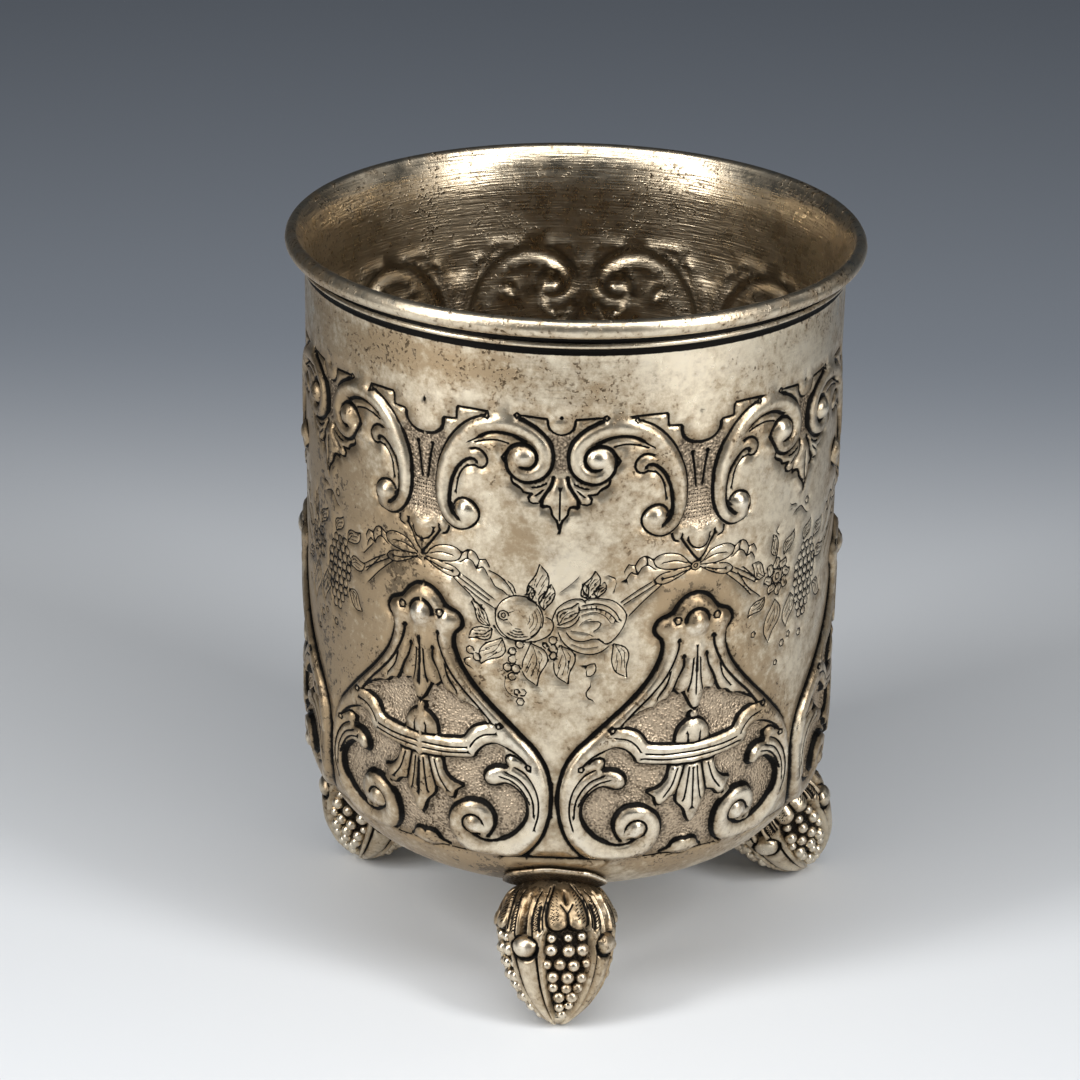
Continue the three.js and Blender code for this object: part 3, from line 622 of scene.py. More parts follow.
def wallNet(relief, isInside):
    low, high, columns = ornament["base"], ornament["top"], ornament["columns"]
    endX = seamX + third
    found = PointSet(0.6)
    edges = []

    def isInward(p, gap):
        return seamX + gap < p[0] < endX - gap

    def addWhereFree(p, seamGap, gap):
        if isInward(p, seamGap) and not found.crowded(p, gap):
            found.add(p)

    def put(path, half, withShoulders):
        kept = [p for p in path if isInward(p, ornament["seamGap"])]
        if len(kept) > 1 and len(kept) == len(path):
            last = None
            for p in path:
                if found.crowded(p, ornament["linePointGap"]):
                    last = None
                    continue
                now = found.add(p)
                if last is not None:
                    edges.append((last, now))
                last = now
        else:
            for p in kept:
                if not found.crowded(p, ornament["cutPointGap"]):
                    found.add(p)
        if not withShoulders:
            return
        tangent = np.gradient(path, axis=0)
        across = np.stack([-tangent[:, 1], tangent[:, 0]], -1)
        across /= np.maximum(np.linalg.norm(across, axis=1, keepdims=True), 1e-9)
        for side in (half, -half):
            for p in path + across * side:
                addWhereFree(p, ornament["shoulderSeamGap"], max(0.8 * half, 0.1))

    def everywhere(path):
        for k in (0, 1):
            for m in (1, -1):
                for shift in (-third, 0, third):
                    moved = np.stack([m * path[:, 0] + k * repeat + shift, path[:, 1]], -1)
                    if moved[:, 0].max() > seamX and moved[:, 0].min() < endX:
                        yield moved

    def widestFirst(lines):
        return sorted(lines, key=lambda item: -lineKinds[item[0]][0])

    # the outline of the net, the same on both seams
    across = [seamX + third * i / columns for i in range(columns + 1)]
    rows = round((high - low) / ornament["edgeGap"])
    upwards = [low + (high - low) * j / rows for j in range(1, rows)]
    ids = [found.add(p) for p in [(x, low) for x in across] + [(endX, s) for s in upwards]
           + [(x, high) for x in reversed(across)] + [(seamX, s) for s in reversed(upwards)]]
    edges.extend(zip(ids, ids[1:] + ids[:1]))

    for kind, path in widestFirst(relief.lines):
        half = lineKinds[kind][0]
        if isInside and half < ornament["showsThrough"]:
            continue
        for moved in everywhere(path):
            isShown = moved[:, 1].mean() > ornament["shownInside"]
            if isInside and not isShown and len(moved) > 4:
                moved = moved[::2]
            put(moved, half + ornament["softened"] * isInside, isShown or not isInside)
    if not isInside:
        for x, s, r, depth in relief.pits:
            around = ring(x, s, r)[:-1] if r > 0.3 else curl(x, s, r, r, 0, 270, 3)
            for moved in everywhere(np.array([(x, s)] + around)):
                for p in moved:
                    addWhereFree(p, ornament["pitSeamGap"], ornament["linePointGap"])
        for kind, path in widestFirst(relief.loose):
            put(path, lineKinds[kind][0], True)
    fill(found, relief, isInside)

    def triangles():
        net = delaunay_2d_cdt([Vector(p) for p in found.points], edges, [], 0, 1e-5)
        return np.array([(p.x, p.y) for p in net[0]]), np.array([f for f in net[2] if len(f) == 3])

    places, faces = triangles()
    for sweep in range(0 if isInside else 2):
        # a side that joins two lines gets a point in its middle, so that the lines stay apart
        sides = np.sort(np.vstack([faces[:, [0, 1]], faces[:, [1, 2]], faces[:, [0, 2]]]))
        sides = np.unique(sides, axis=0)
        isLong = np.linalg.norm(places[sides[:, 0]] - places[sides[:, 1]], axis=1) > 0.3
        line = relief.shape(places)[1]
        sides = sides[isLong & (line[sides].min(1) > 0.3)]
        middle = places[sides].mean(1)
        for p in middle[line[sides].mean(1) - relief.shape(middle)[1] > 0.35]:
            if low + 0.1 < p[1] < high - 0.1 and not found.crowded(p, ornament["middlePointGap"]):
                found.add(p)
        places, faces = triangles()
    middle = places[faces].mean(1)
    x, s = middle[:, 0], middle[:, 1]
    return places, faces[(x > seamX) & (x < endX) & (s > low) & (s < high)]


def fill(found, relief, isInside):
    low, high = ornament["base"], ornament["top"]
    spacing, wide = ornament["closeFill"], ornament["wideFill"]
    rows = int((high - low) / (spacing * 0.87))
    columns = int(third / spacing)
    lattice = np.array([(seamX + third * (i + 0.5 * (j % 2)) / columns, low + (high - low) * j / rows)
                        for j in range(1, rows) for i in range(columns)])
    p = relief.folded(lattice)
    busy = inside(p, relief.areas[0][0])
    for path, half, lift in relief.swells:
        chosen, away = near(p, path, half + 0.4)
        busy[chosen[away < half + 0.4]] = True
    random.seed(ornament["seed"])
    jitter, clear = ornament["jitter"], ornament["fillSeamGap"]
    for place, isBusy in zip(lattice, busy):
        gap = spacing if isBusy else wide
        if isInside and place[1] < ornament["shownInside"]:
            gap = ornament["insideFill"]
        place = place + np.array([random.uniform(-jitter, jitter), random.uniform(-jitter, jitter)])
        if seamX + clear < place[0] < seamX + third - clear and not found.crowded(place, gap * 0.62):
            if isBusy or not found.crowded(place, gap * 0.8):
                found.add(place)


# The cup's profile: radius, height and outward direction at a length s up the wall

turnAngles = np.linspace(0, math.pi / 2, 400)
turnDrop = cup["turnTop"] - cup["underside"]
turnR = cup["wallBaseRadius"] - cup["turnWidth"] * (1 - np.cos(turnAngles))
turnZ = cup["turnTop"] - turnDrop * np.sin(turnAngles)
turnAlong = np.concatenate([[0], np.cumsum(np.hypot(np.diff(turnR), np.diff(turnZ)))])


def wallAt(s):
    s = np.asarray(s, float)
    up = np.clip(s, 0, None)
    slope = (cup["wallTopRadius"] - cup["wallBaseRadius"]) / (cup["wallTop"] - cup["turnTop"])
    angle = np.interp(-s, turnAlong, turnAngles)
    r = np.where(s >= 0, cup["wallBaseRadius"] + slope * up, np.interp(-s, turnAlong, turnR))
    z = np.where(s >= 0, cup["turnTop"] + up, np.interp(-s, turnAlong, turnZ))
    nr = np.cos(angle) * turnDrop
    nz = -np.sin(angle) * cup["turnWidth"]
    size = np.hypot(nr, nz)
    return r, z, np.where(s >= 0, 1, nr / size), np.where(s >= 0, 0, nz / size)


def onWall(places, lift):
    r, z, nr, nz = wallAt(places[:, 1])
    a = places[:, 0] / ornament["meanRadius"]
    far = r + nr * lift
    return np.stack([far * np.sin(a), -far * np.cos(a), z + nz * lift], -1)


# Meshes and what their points carry. raised is the height of the relief, berry a berry's radius, and
# the rest run from 0 to about 1.

attributeNames = ["line", "ground", "closeness", "raised", "inner", "berry", "stain"]


def pointValues(count, **given):
    # one row of attributes for each point; those that aren't given are 0
    values = np.zeros((count, len(attributeNames)))
    for name, column in given.items():
        values[:, attributeNames.index(name)] = column
    return values


def meshOf(name, verts, faces, values):
    mesh = bpy.data.meshes.new(name)
    mesh.from_pydata((verts * mm).tolist(), [], faces)
    for k, key in enumerate(attributeNames):
        layer = mesh.attributes.new(key, "FLOAT", "POINT")
        layer.data.foreach_set("value", values[:, k].astype(np.float32))
    return mesh


# brown tarnish, with painted shade on the cup's left side (the first patch) and a painted shadow on the
# lower turn left of the front: degrees from the front, height, reach each way round, reach up and down,
# strength
stains = [(-64, 62, 17, 42, 0.8), (-46, 58, 9, 14, 0.6), (-37, 66, 9, 7, 1.0), (-30, 52, 7, 10, 0.55),
          (-34, 30, 16, 12, 0.45), (-8, 72, 5, 4, 0.45), (12, 68, 7, 3, 0.35), (28, 63, 11, 5, 0.8),
          # the patch at -13 degrees and 20 high is a painted shadow on the lower turn
          (48, 50, 8, 14, 0.3), (-13, 20, 15, 4.5, 1.15), (4, 57, 6, 5, 0.25), (30, 22, 12, 3, 0.4),
          (-36, 96, 26, 2.5, 0.6), (100, 60, 20, 20, 0.5), (150, 75, 14, 12, 0.5),
          (190, 40, 18, 14, 0.6), (240, 70, 18, 18, 0.6), (260, 35, 16, 12, 0.5),
          (75, 30, 10, 10, 0.5), (130, 22, 20, 6, 0.6), (215, 94, 16, 5, 0.6)]


def stainAt(verts):
    bearing = np.degrees(np.arctan2(verts[:, 0], -verts[:, 1]))
    found = np.zeros(len(verts))
    for around, height, wide, tall, strength in stains:
        off = ((bearing - around + 180) % 360 - 180) / wide
        up = (verts[:, 2] - height) / tall
        found = np.maximum(found, strength * np.exp(-off ** 2 - up ** 2))
    return found


class MeshParts:
    def __init__(self):
        self.verts = []
        self.faces = []
        self.values = []
        self.count = 0

    def add(self, verts, faces, values=None):
        self.verts.append(verts)
        self.faces += [tuple(int(i) + self.count for i in f) for f in faces]
        self.values.append(pointValues(len(verts)) if values is None else values)
        self.count += len(verts)

    def finished(self, name):
        verts = np.vstack(self.verts)
        values = np.vstack(self.values)
        stain = attributeNames.index("stain")
        values[:, stain] = np.maximum(values[:, stain], stainAt(verts))
        mesh = meshOf(name, verts, self.faces, values)
        bm = bmesh.new()
        bm.from_mesh(mesh)
        bmesh.ops.remove_doubles(bm, verts=bm.verts, dist=0.004 * mm)
        openEdges = sum(1 for e in bm.edges if len(e.link_faces) != 2)
        print(name, "vertices", len(bm.verts), "faces", len(bm.faces), "open edges", openEdges,
              "volume cm3", round(bm.calc_volume(signed=True) * 1e6, 2))
        bm.to_mesh(mesh)
        bm.free()
        mesh.shade_smooth()
        thing = bpy.data.objects.new(name, mesh)
        bpy.context.scene.collection.objects.link(thing)
        return thing


def latheRows(parts, profile, columns, values=None):
    # profile is radius, height pairs; a radius of 0 closes to a pole
    profile = np.array(profile, float)
    a = 2 * math.pi * np.arange(columns) / columns - math.pi / ornament["repeats"]
    verts = np.stack([profile[:, None, 0] * np.sin(a), -profile[:, None, 0] * np.cos(a),
                      np.repeat(profile[:, 1:2], columns, 1)], -1).reshape(-1, 3)
    faces = []
    for j in range(len(profile) - 1):
        for i in range(columns):
            n = (i + 1) % columns
            b, t = j * columns, (j + 1) * columns
            if profile[j, 0] < 1e-6:
                faces.append((b, t + n, t + i))
            elif profile[j + 1, 0] < 1e-6:
                faces.append((b + i, b + n, t))
            else:
                faces.append((b + i, b + n, t + n, t + i))
    parts.add(verts, faces, np.repeat(values, columns, 0) if values is not None else None)


def sheetAt(s):
    # the silver is hammered thinner towards the lip
    return cup["sheet"] - (cup["sheet"] - cup["lipSheet"]) * ease((s - cup["thinsFrom"]) / cup["thinsOver"])


def makeCup():
    print("drawing the chased pattern")
    relief = cupPattern()
    parts = MeshParts()
    columns = ornament["columns"] * 3
    for isInside in (False, True):
        places, faces = wallNet(relief, isInside)
        height, line, ground, closeness = relief.shape(places, ornament["softened"] if isInside else 0.0)
        height *= ease(ornament["top"] - places[:, 1]) * ease(places[:, 1] - ornament["base"])
        lift = height * cup["insideRelief"] - sheetAt(places[:, 1]) if isInside else height
        black = cup["insideBlack"] if isInside else 1
        values = pointValues(len(line), line=black * line, ground=black * ground, closeness=closeness,
                             raised=height, inner=isInside)
        print("inside" if isInside else "outside", "net", len(places), "points", len(faces), "faces")
        for k in range(3):
            moved = places + (third * k, 0)
            parts.add(onWall(moved, lift), faces[:, ::-1] if isInside else faces, values)

    top, base, sheet = ornament["top"], ornament["base"], cup["sheet"]
    below = np.linspace(-turnAlong[-1], base, 14)
    r, z, nr, nz = wallAt(below)
    flat = [(0, cup["underside"])] + [(r[0] * t, cup["underside"]) for t in (0.3, 0.6, 0.85)]
    latheRows(parts, flat + list(zip(r, z)), columns)
    lip, lipValues = lipProfile(top)
    latheRows(parts, lip, columns, lipValues)
    inner = list(zip(r - nr * sheet, z - nz * sheet))[::-1]
    inner += [(inner[-1][0] * t, cup["underside"] + sheet) for t in (0.85, 0.6, 0.3, 0)]
    latheRows(parts, inner, columns, pointValues(len(inner), inner=1))
    return parts.finished("silver_cup")


def lipProfile(top):
    # from the plain wall over the grooves, the bead and the rolled lip, and down inside; the third
    # number is how black the groove is
    r, z, _, _ = [float(v) for v in wallAt(top)]
    wall, rim, high = cup["wallTopRadius"], cup["rimRadius"], cup["height"]
    lipBase, sheet = high - cup["lipHeight"], cup["lipSheet"]
    rise = [(r + (wall - r) * t, z + (lipBase - 3.15 - z) * t, 0) for t in (0, 0.25, 0.5, 0.75, 0.9, 1)]
    under = [(0.06, -2.95, 0.3), (0.04, -2.75, 1), (0.0, -2.4, 1), (0.02, -2.1, 1), (0.16, -1.95, 0.9),
             (0.55, -1.8, 0.1), (0.8, -1.65, 0), (0.88, -1.4, 0), (0.8, -1.2, 0), (0.6, -1.08, 0.4),
             (0.5, -0.85, 1), (0.5, -0.55, 1), (0.75, -0.25, 1), (1.2, -0.05, 0.9)]
    lip = [(0.75, 0.08, 0.1), (0.35, 0.3, 0), (0.08, 0.75, 0), (0, 1.2, 0), (0.1, 1.75, 0),
           (0.38, 2.25, 0), (0.75, 2.6, 0), (1.1, 2.6, 0), (1.4, 2.5, 0), (1.65, 2.2, 0), (1.85, 1.6, 0)]
    rows = rise + [(wall + a, lipBase + b, ink) for a, b, ink in under]
    rows += [(rim - a, lipBase + b, ink) for a, b, ink in lip]
    outside = len(rows)
    rows += [(wall + 0.8 - sheet, lipBase + 0.9, 0), (wall + 0.62 - sheet, lipBase - 0.2, 0),
             (wall + 0.3 - sheet, lipBase - 1.4, 0), (wall + 0.05 - sheet, lipBase - 2.8, 0)]
    rows += [(a - sheet, b, 0) for a, b, _ in reversed(rise[:-1])]
    isInner = np.arange(len(rows)) >= outside - 1
    values = pointValues(len(rows), line=[ink for _, _, ink in rows], inner=isInner)
    return [row[:2] for row in rows], values


# The feet: an egg-shaped fruit, its carving drawn over an eighth of the way round. There x is the
# angle from the middle of a berry panel, as a length at feet["drawnRadius"], and s runs up from the tip.

feet = {
    # how each foot splays, how far to the right of straight out, and how far it is turned about itself
    "stances": [
        {"node": "foot_front", "lean": 19.6, "towards": 9, "neckRadius": 28.5, "turn": 6},
        {"node": "foot_right", "lean": 32, "towards": 0, "neckRadius": 30, "turn": 4},
        {"node": "foot_left", "lean": 17, "towards": 0, "neckRadius": 29.6, "turn": 0},
    ],
    "neckLength": 20.4,         # from the tip to the middle of the neck
    "wear": 0.16,               # worn off the tip
    "seat": 0.3,                # clear of the cup
    "drawnRadius": 8.0,
    "columns": 256,
    "rowGap": 0.17,
    "stationGap": 0.4,          # between points along a line of the drawing
    # each row of berries: height, how many, how far apart, radius
    "berryRows": [(12.6, 3, 2.3, 0.72), (10.8, 3, 2.35, 0.93), (8.85, 4, 1.98, 0.86), (7.05, 3, 2.15, 0.9),
                  (5.55, 3, 1.85, 0.78), (4.1, 2, 1.9, 0.85), (2.8, 2, 1.45, 0.7), (1.65, 1, 1.0, 0.68)],
    "berryDepth": 0.6,          # of its middle, below the egg shape
    "berryShift": 0.16,         # how far it may stray from its row
    "berrySizes": (0.9, 1.06),
    "sideBerry": 2.6,           # one further than this from the panel's middle is smaller
    "sideBerrySize": 0.8,
    "carvedFrom": 1.2,          # the carving sets in where the egg is this wide,
    "carvedTo": 20.6,           # and ends at this height
    "darkFrom": 18,            # dark round the neck, from this height,
    "darkOver": 3,             # and fully dark this much higher
    "seed": 3,
}
footOutline = [(0.01, -0.05), (0.6, 0.0), (2.05, 0.9), (3.5, 2.05), (4.8, 3.35), (6.3, 5.5), (7.3, 7.9),
               (7.9, 10.2), (8.2, 12.6), (8.2, 13.9), (7.65, 15.9), (6.2, 18.3), (4.0, 20.4),
               (2.4, 21.8), (0.01, 22.5)]
petalMiddle = math.radians(45) * feet["drawnRadius"]


def hatching(x, fromS, toS, length, slope, gap=0.42):
    count = int((toS - fromS) / gap)
    return [("hair", [(x, fromS + gap * k), (x + length, fromS + gap * k + slope)]) for k in range(count)]


def footPattern():
    lobes = [(0.0, 14.4), (0.35, 13.95), (1.2, 13.55), (2.2, 13.65), (2.9, 14.3)]
    side = [(2.9, 14.3), (3.05, 15.5), (2.85, 17.1), (2.3, 18.6), (1.9, 19.5)]
    bedEdge, rib = 3.72, 4.62       # of the berry panel, and the line on the rib beside it
    bed = [(0.0, 0.8), (bedEdge, 0.8), (bedEdge, 11.8), (3.45, 13.2), (2.9, 14.3)] + lobes[::-1]
    lines = byKind({
        "deep": [curl(petalMiddle, 11.3, 2.0, 1.5, 180, 275, 6)],
        "chased": [
            [(rib, 0.8), (rib, 4.0), (rib, 8.0), (4.55, 10.0), (4.3, 11.9)],
            lobes, side, [(0.0, 14.2), (0.0, 15.9)], [(3.95, 13.6), (4.1, 15.0), (3.95, 16.8)],
            [(4.4, 12.0), (4.9, 12.5), (5.5, 12.9)],
        ],
        "fine": [
            [(0.0, 15.8), (0.45, 16.4), (0.95, 17.0)],
            [(3.45, 13.8), (3.55, 15.6), (3.2, 17.6), (2.7, 19.3)],
            [(4.9, 12.9), (5.0, 14.8), (4.8, 16.9), (4.3, 18.8)],
        ],
    })
    lines += hatching(1.3, 15.0, 18.8, 0.4, 0.25) + hatching(1.95, 14.6, 18.8, 0.45, 0.25)
    lines += hatching(3.85, 14.0, 18.2, 0.45, -0.25) + hatching(4.4, 13.4, 18.2, 0.35, 0.25)
    slot = [(petalMiddle - 0.75, 12.7), (petalMiddle - 0.72, 14.2), (petalMiddle - 0.55, 16.4),
            (petalMiddle - 0.3, 18.6), (petalMiddle + 1, 18.6), (petalMiddle + 1, 12.7)]
    drop = [(-1.0, 16.9), (0.15, 16.9), (0.42, 17.4), (0.55, 18.1), (0.4, 18.7), (0.0, 19.0), (-1.0, 19.0)]
    areas = [(bed, -0.85, 0.16, True), (slot, -0.8, 0.2, True), (drop, -0.6, 0.15, True)]
    swells = [
        ([(1.35, 14.8)], 1.4, 0.6), ([(1.3, 15.2), (1.3, 17.6)], 1.5, 0.4),
        ([(3.4, 13.4), (3.45, 15.4), (3.1, 18.0)], 0.4, 0.3), ([(4.5, 13.0), (4.5, 17.6)], 0.9, 0.3),
        ([(5.45, 12.7), (5.45, 15.0), (5.3, 17.8)], 0.4, 0.55),
        ([(4.1, 0.9), (4.1, 11.8), (3.9, 13.0)], 0.42, 0.4),
        ([(petalMiddle, 0.8), (petalMiddle, 10.4)], 1.7, 0.5),
        ([(petalMiddle - 0.3, 11.4), (petalMiddle, 11.4)], 1.6, 1.2),
    ]
    return Pattern(petalMiddle, lines, swells, areas, [], feet["stationGap"])


def turnHeight(radius, clearance):
    # underside of the cup, moved out by clearance, over a place at this distance from the axis
    fromFlat = np.clip(radius - (cup["wallBaseRadius"] - cup["turnWidth"]), 0, None)
    far = fromFlat / (cup["turnWidth"] + clearance)
    return cup["turnTop"] - (turnDrop + clearance) * np.sqrt(np.clip(1 - far ** 2, 0, 1))


def carvedFoot():
    # the foot upright on its tip, with a loose vertex for the middle of each berry
    pattern = footPattern()
    profile = smooth(footOutline, feet["rowGap"])
    columns = feet["columns"]
    angles = 2 * math.pi * np.arange(columns) / columns
    around, along = np.meshgrid(angles, profile[:, 1])
    radius = np.repeat(profile[:, :1], columns, 1)
    places = np.stack([around.ravel() * feet["drawnRadius"], along.ravel()], -1)
    height, line, ground, closeness = pattern.shape(places)
    slope = np.gradient(profile, axis=0)
    slope /= np.linalg.norm(slope, axis=1, keepdims=True)
    outR = np.repeat(slope[:, 1], columns)
    outZ = np.repeat(-slope[:, 0], columns)
    fade = ease(radius.ravel() / feet["carvedFrom"])
    fade *= ease((feet["carvedTo"] - along.ravel()) / feet["carvedFrom"])
    lift = height * fade
    r = radius.ravel() + outR * lift
    a = around.ravel()
    verts = np.stack([r * np.sin(a), -r * np.cos(a), along.ravel() + outZ * lift], -1)
    rows = len(profile)
    faces = ringFaces(rows, columns)
    faces.append(tuple(reversed(range(columns))))
    faces.append(tuple(range((rows - 1) * columns, rows * columns)))
    # darker round the neck, where the foot meets the cup
    darkening = ease((along.ravel() - feet["darkFrom"]) / feet["darkOver"])
    values = pointValues(len(line), line=line, ground=ground, closeness=closeness + 0.6 * darkening,
                         raised=height, stain=darkening)

    random.seed(feet["seed"])
    shift = feet["berryShift"]
    berries = []
    for panel in range(4):
        for s, count, gap, size in feet["berryRows"]:
            r = np.interp(s, profile[:, 1], profile[:, 0])
            for k in range(count):
                x = (k - (count - 1) / 2) * gap + random.uniform(-shift, shift)
                a = math.radians(90 * panel) + math.asin(min(0.9, x / r))
                deep = r - feet["berryDepth"]
                up = s + random.uniform(-shift, shift)
                swelling = size * random.uniform(*feet["berrySizes"])
                swelling *= feet["sideBerrySize"] if abs(x) > feet["sideBerry"] else 1
                berries.append((deep * math.sin(a), -deep * math.cos(a), up, swelling))
    berries = np.array(berries)
    parts = MeshParts()
    parts.add(verts, faces, values)
    parts.add(berries[:, :3], [],
              pointValues(len(berries), raised=0.9, stain=0.1, berry=berries[:, 3] * mm))
    return parts


def berryTree(material):
    # every vertex whose berry value isn't zero becomes a ball of that radius
    tree = bpy.data.node_groups.new("berries", "GeometryNodeTree")
    tree.interface.new_socket("Geometry", in_out="INPUT", socket_type="NodeSocketGeometry")
    swelling = tree.interface.new_socket("Swelling", in_out="INPUT", socket_type="NodeSocketFloat")
    tree.interface.new_socket("Geometry", in_out="OUTPUT", socket_type="NodeSocketGeometry")

    def node(kind, inputs, output, **settings):
        return addNode(tree, kind, settings, inputs).outputs[output]
    given = addNode(tree, "NodeGroupInput", {}, {})
    radius = node("GeometryNodeInputNamedAttribute", {"Name": "berry"}, "Attribute", data_type="FLOAT")
    isBerry = node("FunctionNodeCompare", {"A": radius, "B": 1e-6}, "Result",
                   data_type="FLOAT", operation="GREATER_THAN")
    separate = addNode(tree, "GeometryNodeSeparateGeometry", {"domain": "POINT"}, {
        "Geometry": given.outputs["Geometry"], "Selection": isBerry})
    ball = node("GeometryNodeMeshIcoSphere", {"Radius": 1.0, "Subdivisions": 2}, "Mesh")
    scale = node("ShaderNodeMath", {0: radius, 1: given.outputs["Swelling"]}, "Value", operation="MULTIPLY")
    onPoints = node("GeometryNodeInstanceOnPoints", {
        "Points": separate.outputs["Selection"], "Instance": ball, "Scale": scale}, "Instances")
    realized = node("GeometryNodeRealizeInstances", {"Geometry": onPoints}, "Geometry")
    join = addNode(tree, "GeometryNodeJoinGeometry", {}, {"Geometry": separate.outputs["Inverted"]})
    tree.links.new(realized, join.inputs["Geometry"])
    painted = node("GeometryNodeSetMaterial", {
        "Geometry": join.outputs["Geometry"], "Material": material}, "Geometry")
    addNode(tree, "NodeGroupOutput", {}, {"Geometry": painted})
    return tree, swelling.identifier


plate = {
    "width": 14.4,
    "depth": 6.6,
    "sheet": 0.5,
    "rings": 12,
    "steps": 72,
    "outwards": 1.9,            # its middle from the neck's
    "rounding": 0.12,
    "shadedPart": 0.95,              # the part of it painted dark as shade under the cup, inside a bright edge
}


def platePart(neckRadius):
    # the oval plate against the cup's underside, over the neck of a foot at the front
    t = np.linspace(0, 1, plate["rings"] + 1)
    t = np.concatenate([t, t[::-1]])
    rings = len(t)
    a = 2 * math.pi * np.arange(plate["steps"]) / plate["steps"]
    wave = 1 + 0.02 * np.sin(3 * a) + 0.015 * np.sin(7 * a + 1)
    x = plate["width"] / 2 * t[:, None] * np.cos(a) * wave
    y = -neckRadius - plate["outwards"] + plate["depth"] / 2 * t[:, None] * np.sin(a) * wave
    side = np.where(np.arange(rings) <= plate["rings"], 0.0, 1.0)[:, None]
    rounding = plate["rounding"] * (t[:, None] == 1)
    clearance = feet["seat"] + plate["sheet"] * side + np.where(side > 0, -rounding, rounding)
    z = turnHeight(np.hypot(x, y), clearance)
    verts = np.stack([x, y, z], -1).reshape(-1, 3)
    faces = [(a, d, c, b) for a, b, c, d in ringFaces(rings, plate["steps"])]      # facing outwards
    # painted shade: all but the plate's edge is painted dark, as it lies in the cup's shadow
    dark = np.repeat(t < plate["shadedPart"], plate["steps"])
    values = pointValues(len(verts), ground=0.9 * dark, closeness=0.9 * dark,
                         raised=1.3 * ~dark, stain=dark)
    return verts, faces, values


def turned(points, degrees, axis):
    a = math.radians(degrees)
    p = points.copy()
    i, j = {"X": (1, 2), "Z": (0, 1)}[axis]
    p[:, i] = points[:, i] * math.cos(a) - points[:, j] * math.sin(a)
    p[:, j] = points[:, i] * math.sin(a) + points[:, j] * math.cos(a)
    return p


def makeFeet(material):
    print("carving the feet")
    carved = carvedFoot()
    source = meshOf("foot", np.vstack(carved.verts), carved.faces, np.vstack(carved.values))
    source.materials.append(material)
    thing = bpy.data.objects.new("foot", source)
    bpy.context.scene.collection.objects.link(thing)
    tree, swelling = berryTree(material)
    modifier = thing.modifiers.new("berries", "NODES")
    modifier.node_group = tree
    modifier[swelling] = 1.0
    evaluated = thing.evaluated_get(bpy.context.evaluated_depsgraph_get())
    plain = bpy.data.meshes.new_from_object(evaluated)
    bpy.data.objects.remove(thing)
    count = len(plain.vertices)
    upright = np.zeros(count * 3)
    plain.vertices.foreach_get("co", upright)
    upright = upright.reshape(-1, 3) / mm
    values = pointValues(count)
    for k, key in enumerate(attributeNames):
        column = np.zeros(count, np.float32)
        plain.attributes[key].data.foreach_get("value", column)
        values[:, k] = column
    faces = [tuple(f.vertices) for f in plain.polygons]
    for i, stance in enumerate(feet["stances"]):
        leaning = turned(turned(upright, stance["turn"], "Z"), -stance["lean"], "X")
        reach = stance["neckRadius"] + feet["neckLength"] * math.sin(math.radians(stance["lean"]))
        leaning += (0, stance["neckRadius"] - reach, -leaning[:, 2].min() - feet["wear"])
        leaning = turned(leaning, stance["towards"], "Z")
        leaning += (0, -stance["neckRadius"], 0)
        leaning[:, 2] = np.maximum(leaning[:, 2], 0)
        ceiling = turnHeight(np.hypot(leaning[:, 0], leaning[:, 1]), feet["seat"])
        leaning[:, 2] = np.minimum(leaning[:, 2], ceiling)
        parts = MeshParts()
        parts.add(leaning, faces, values)
        parts.add(*platePart(stance["neckRadius"]))
        parts.verts = [turned(v, 360 / len(feet["stances"]) * i, "Z") for v in parts.verts]
        foot = parts.finished(stance["node"].replace("foot", "fruit"))
        foot.data.materials.append(material)
        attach(foot, "root")
        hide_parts(stance["node"])


# Materials

class Amount:
    # a shader value that takes part in sums as a number does
    def __init__(self, shader, socket):
        self.shader = shader
        self.socket = socket

    def sum(self, operation, first, second):
        made = self.shader.node("ShaderNodeMath", {"operation": operation}, {0: first, 1: second})
        return Amount(self.shader, made.outputs[0])

    def __add__(self, other):
        return self.sum("ADD", self, other)

    def __sub__(self, other):
        return self.sum("SUBTRACT", self, other)

    def __rsub__(self, other):
        return self.sum("SUBTRACT", other, self)

    def __mul__(self, other):
        return self.sum("MULTIPLY", self, other)

    __radd__ = __add__
    __rmul__ = __mul__

    def between(self, low, high):
        # 0 below low, 1 above high, and eased between them
        made = self.shader.node("ShaderNodeMapRange", {"interpolation_type": "SMOOTHSTEP"},
                                {"Value": self, "From Min": low, "From Max": high})
        return Amount(self.shader, made.outputs["Result"])


class Shader:
    def __init__(self, name):
        self.material = bpy.data.materials.new(name)
        self.material.use_nodes = True
        self.tree = self.material.node_tree
        self.tree.nodes.clear()

    def node(self, kind, settings, inputs):
        return addNode(self.tree, kind, settings, inputs)

    def attribute(self, name):
        return Amount(self, self.node("ShaderNodeAttribute", {"attribute_name": name}, {}).outputs["Fac"])

    def places(self, stretch=(1, 1, 1)):
        # Object coordinates in millimetres
        made = self.node("ShaderNodeTexCoord", {}, {})
        factors = tuple(k / mm for k in stretch)
        scaled = self.node("ShaderNodeVectorMath", {"operation": "MULTIPLY"},
                           {0: made.outputs["Object"], 1: factors})
        return scaled.outputs[0]

    def noise(self, places, size, detail, roughness):
        made = self.node("ShaderNodeTexNoise", {}, {"Vector": places, "Scale": 1 / size,
                                                    "Detail": detail, "Roughness": roughness})
        return Amount(self, made.outputs["Fac"])

    def mix(self, amount, first, second):
        made = self.node("ShaderNodeMix", {"data_type": "RGBA"}, {0: amount, 6: first, 7: second})
        return made.outputs[2]

    def bump(self, height, distance):
        inputs = {"Height": height, "Distance": distance * mm, "Strength": 1.0}
        return self.node("ShaderNodeBump", {}, inputs).outputs["Normal"]


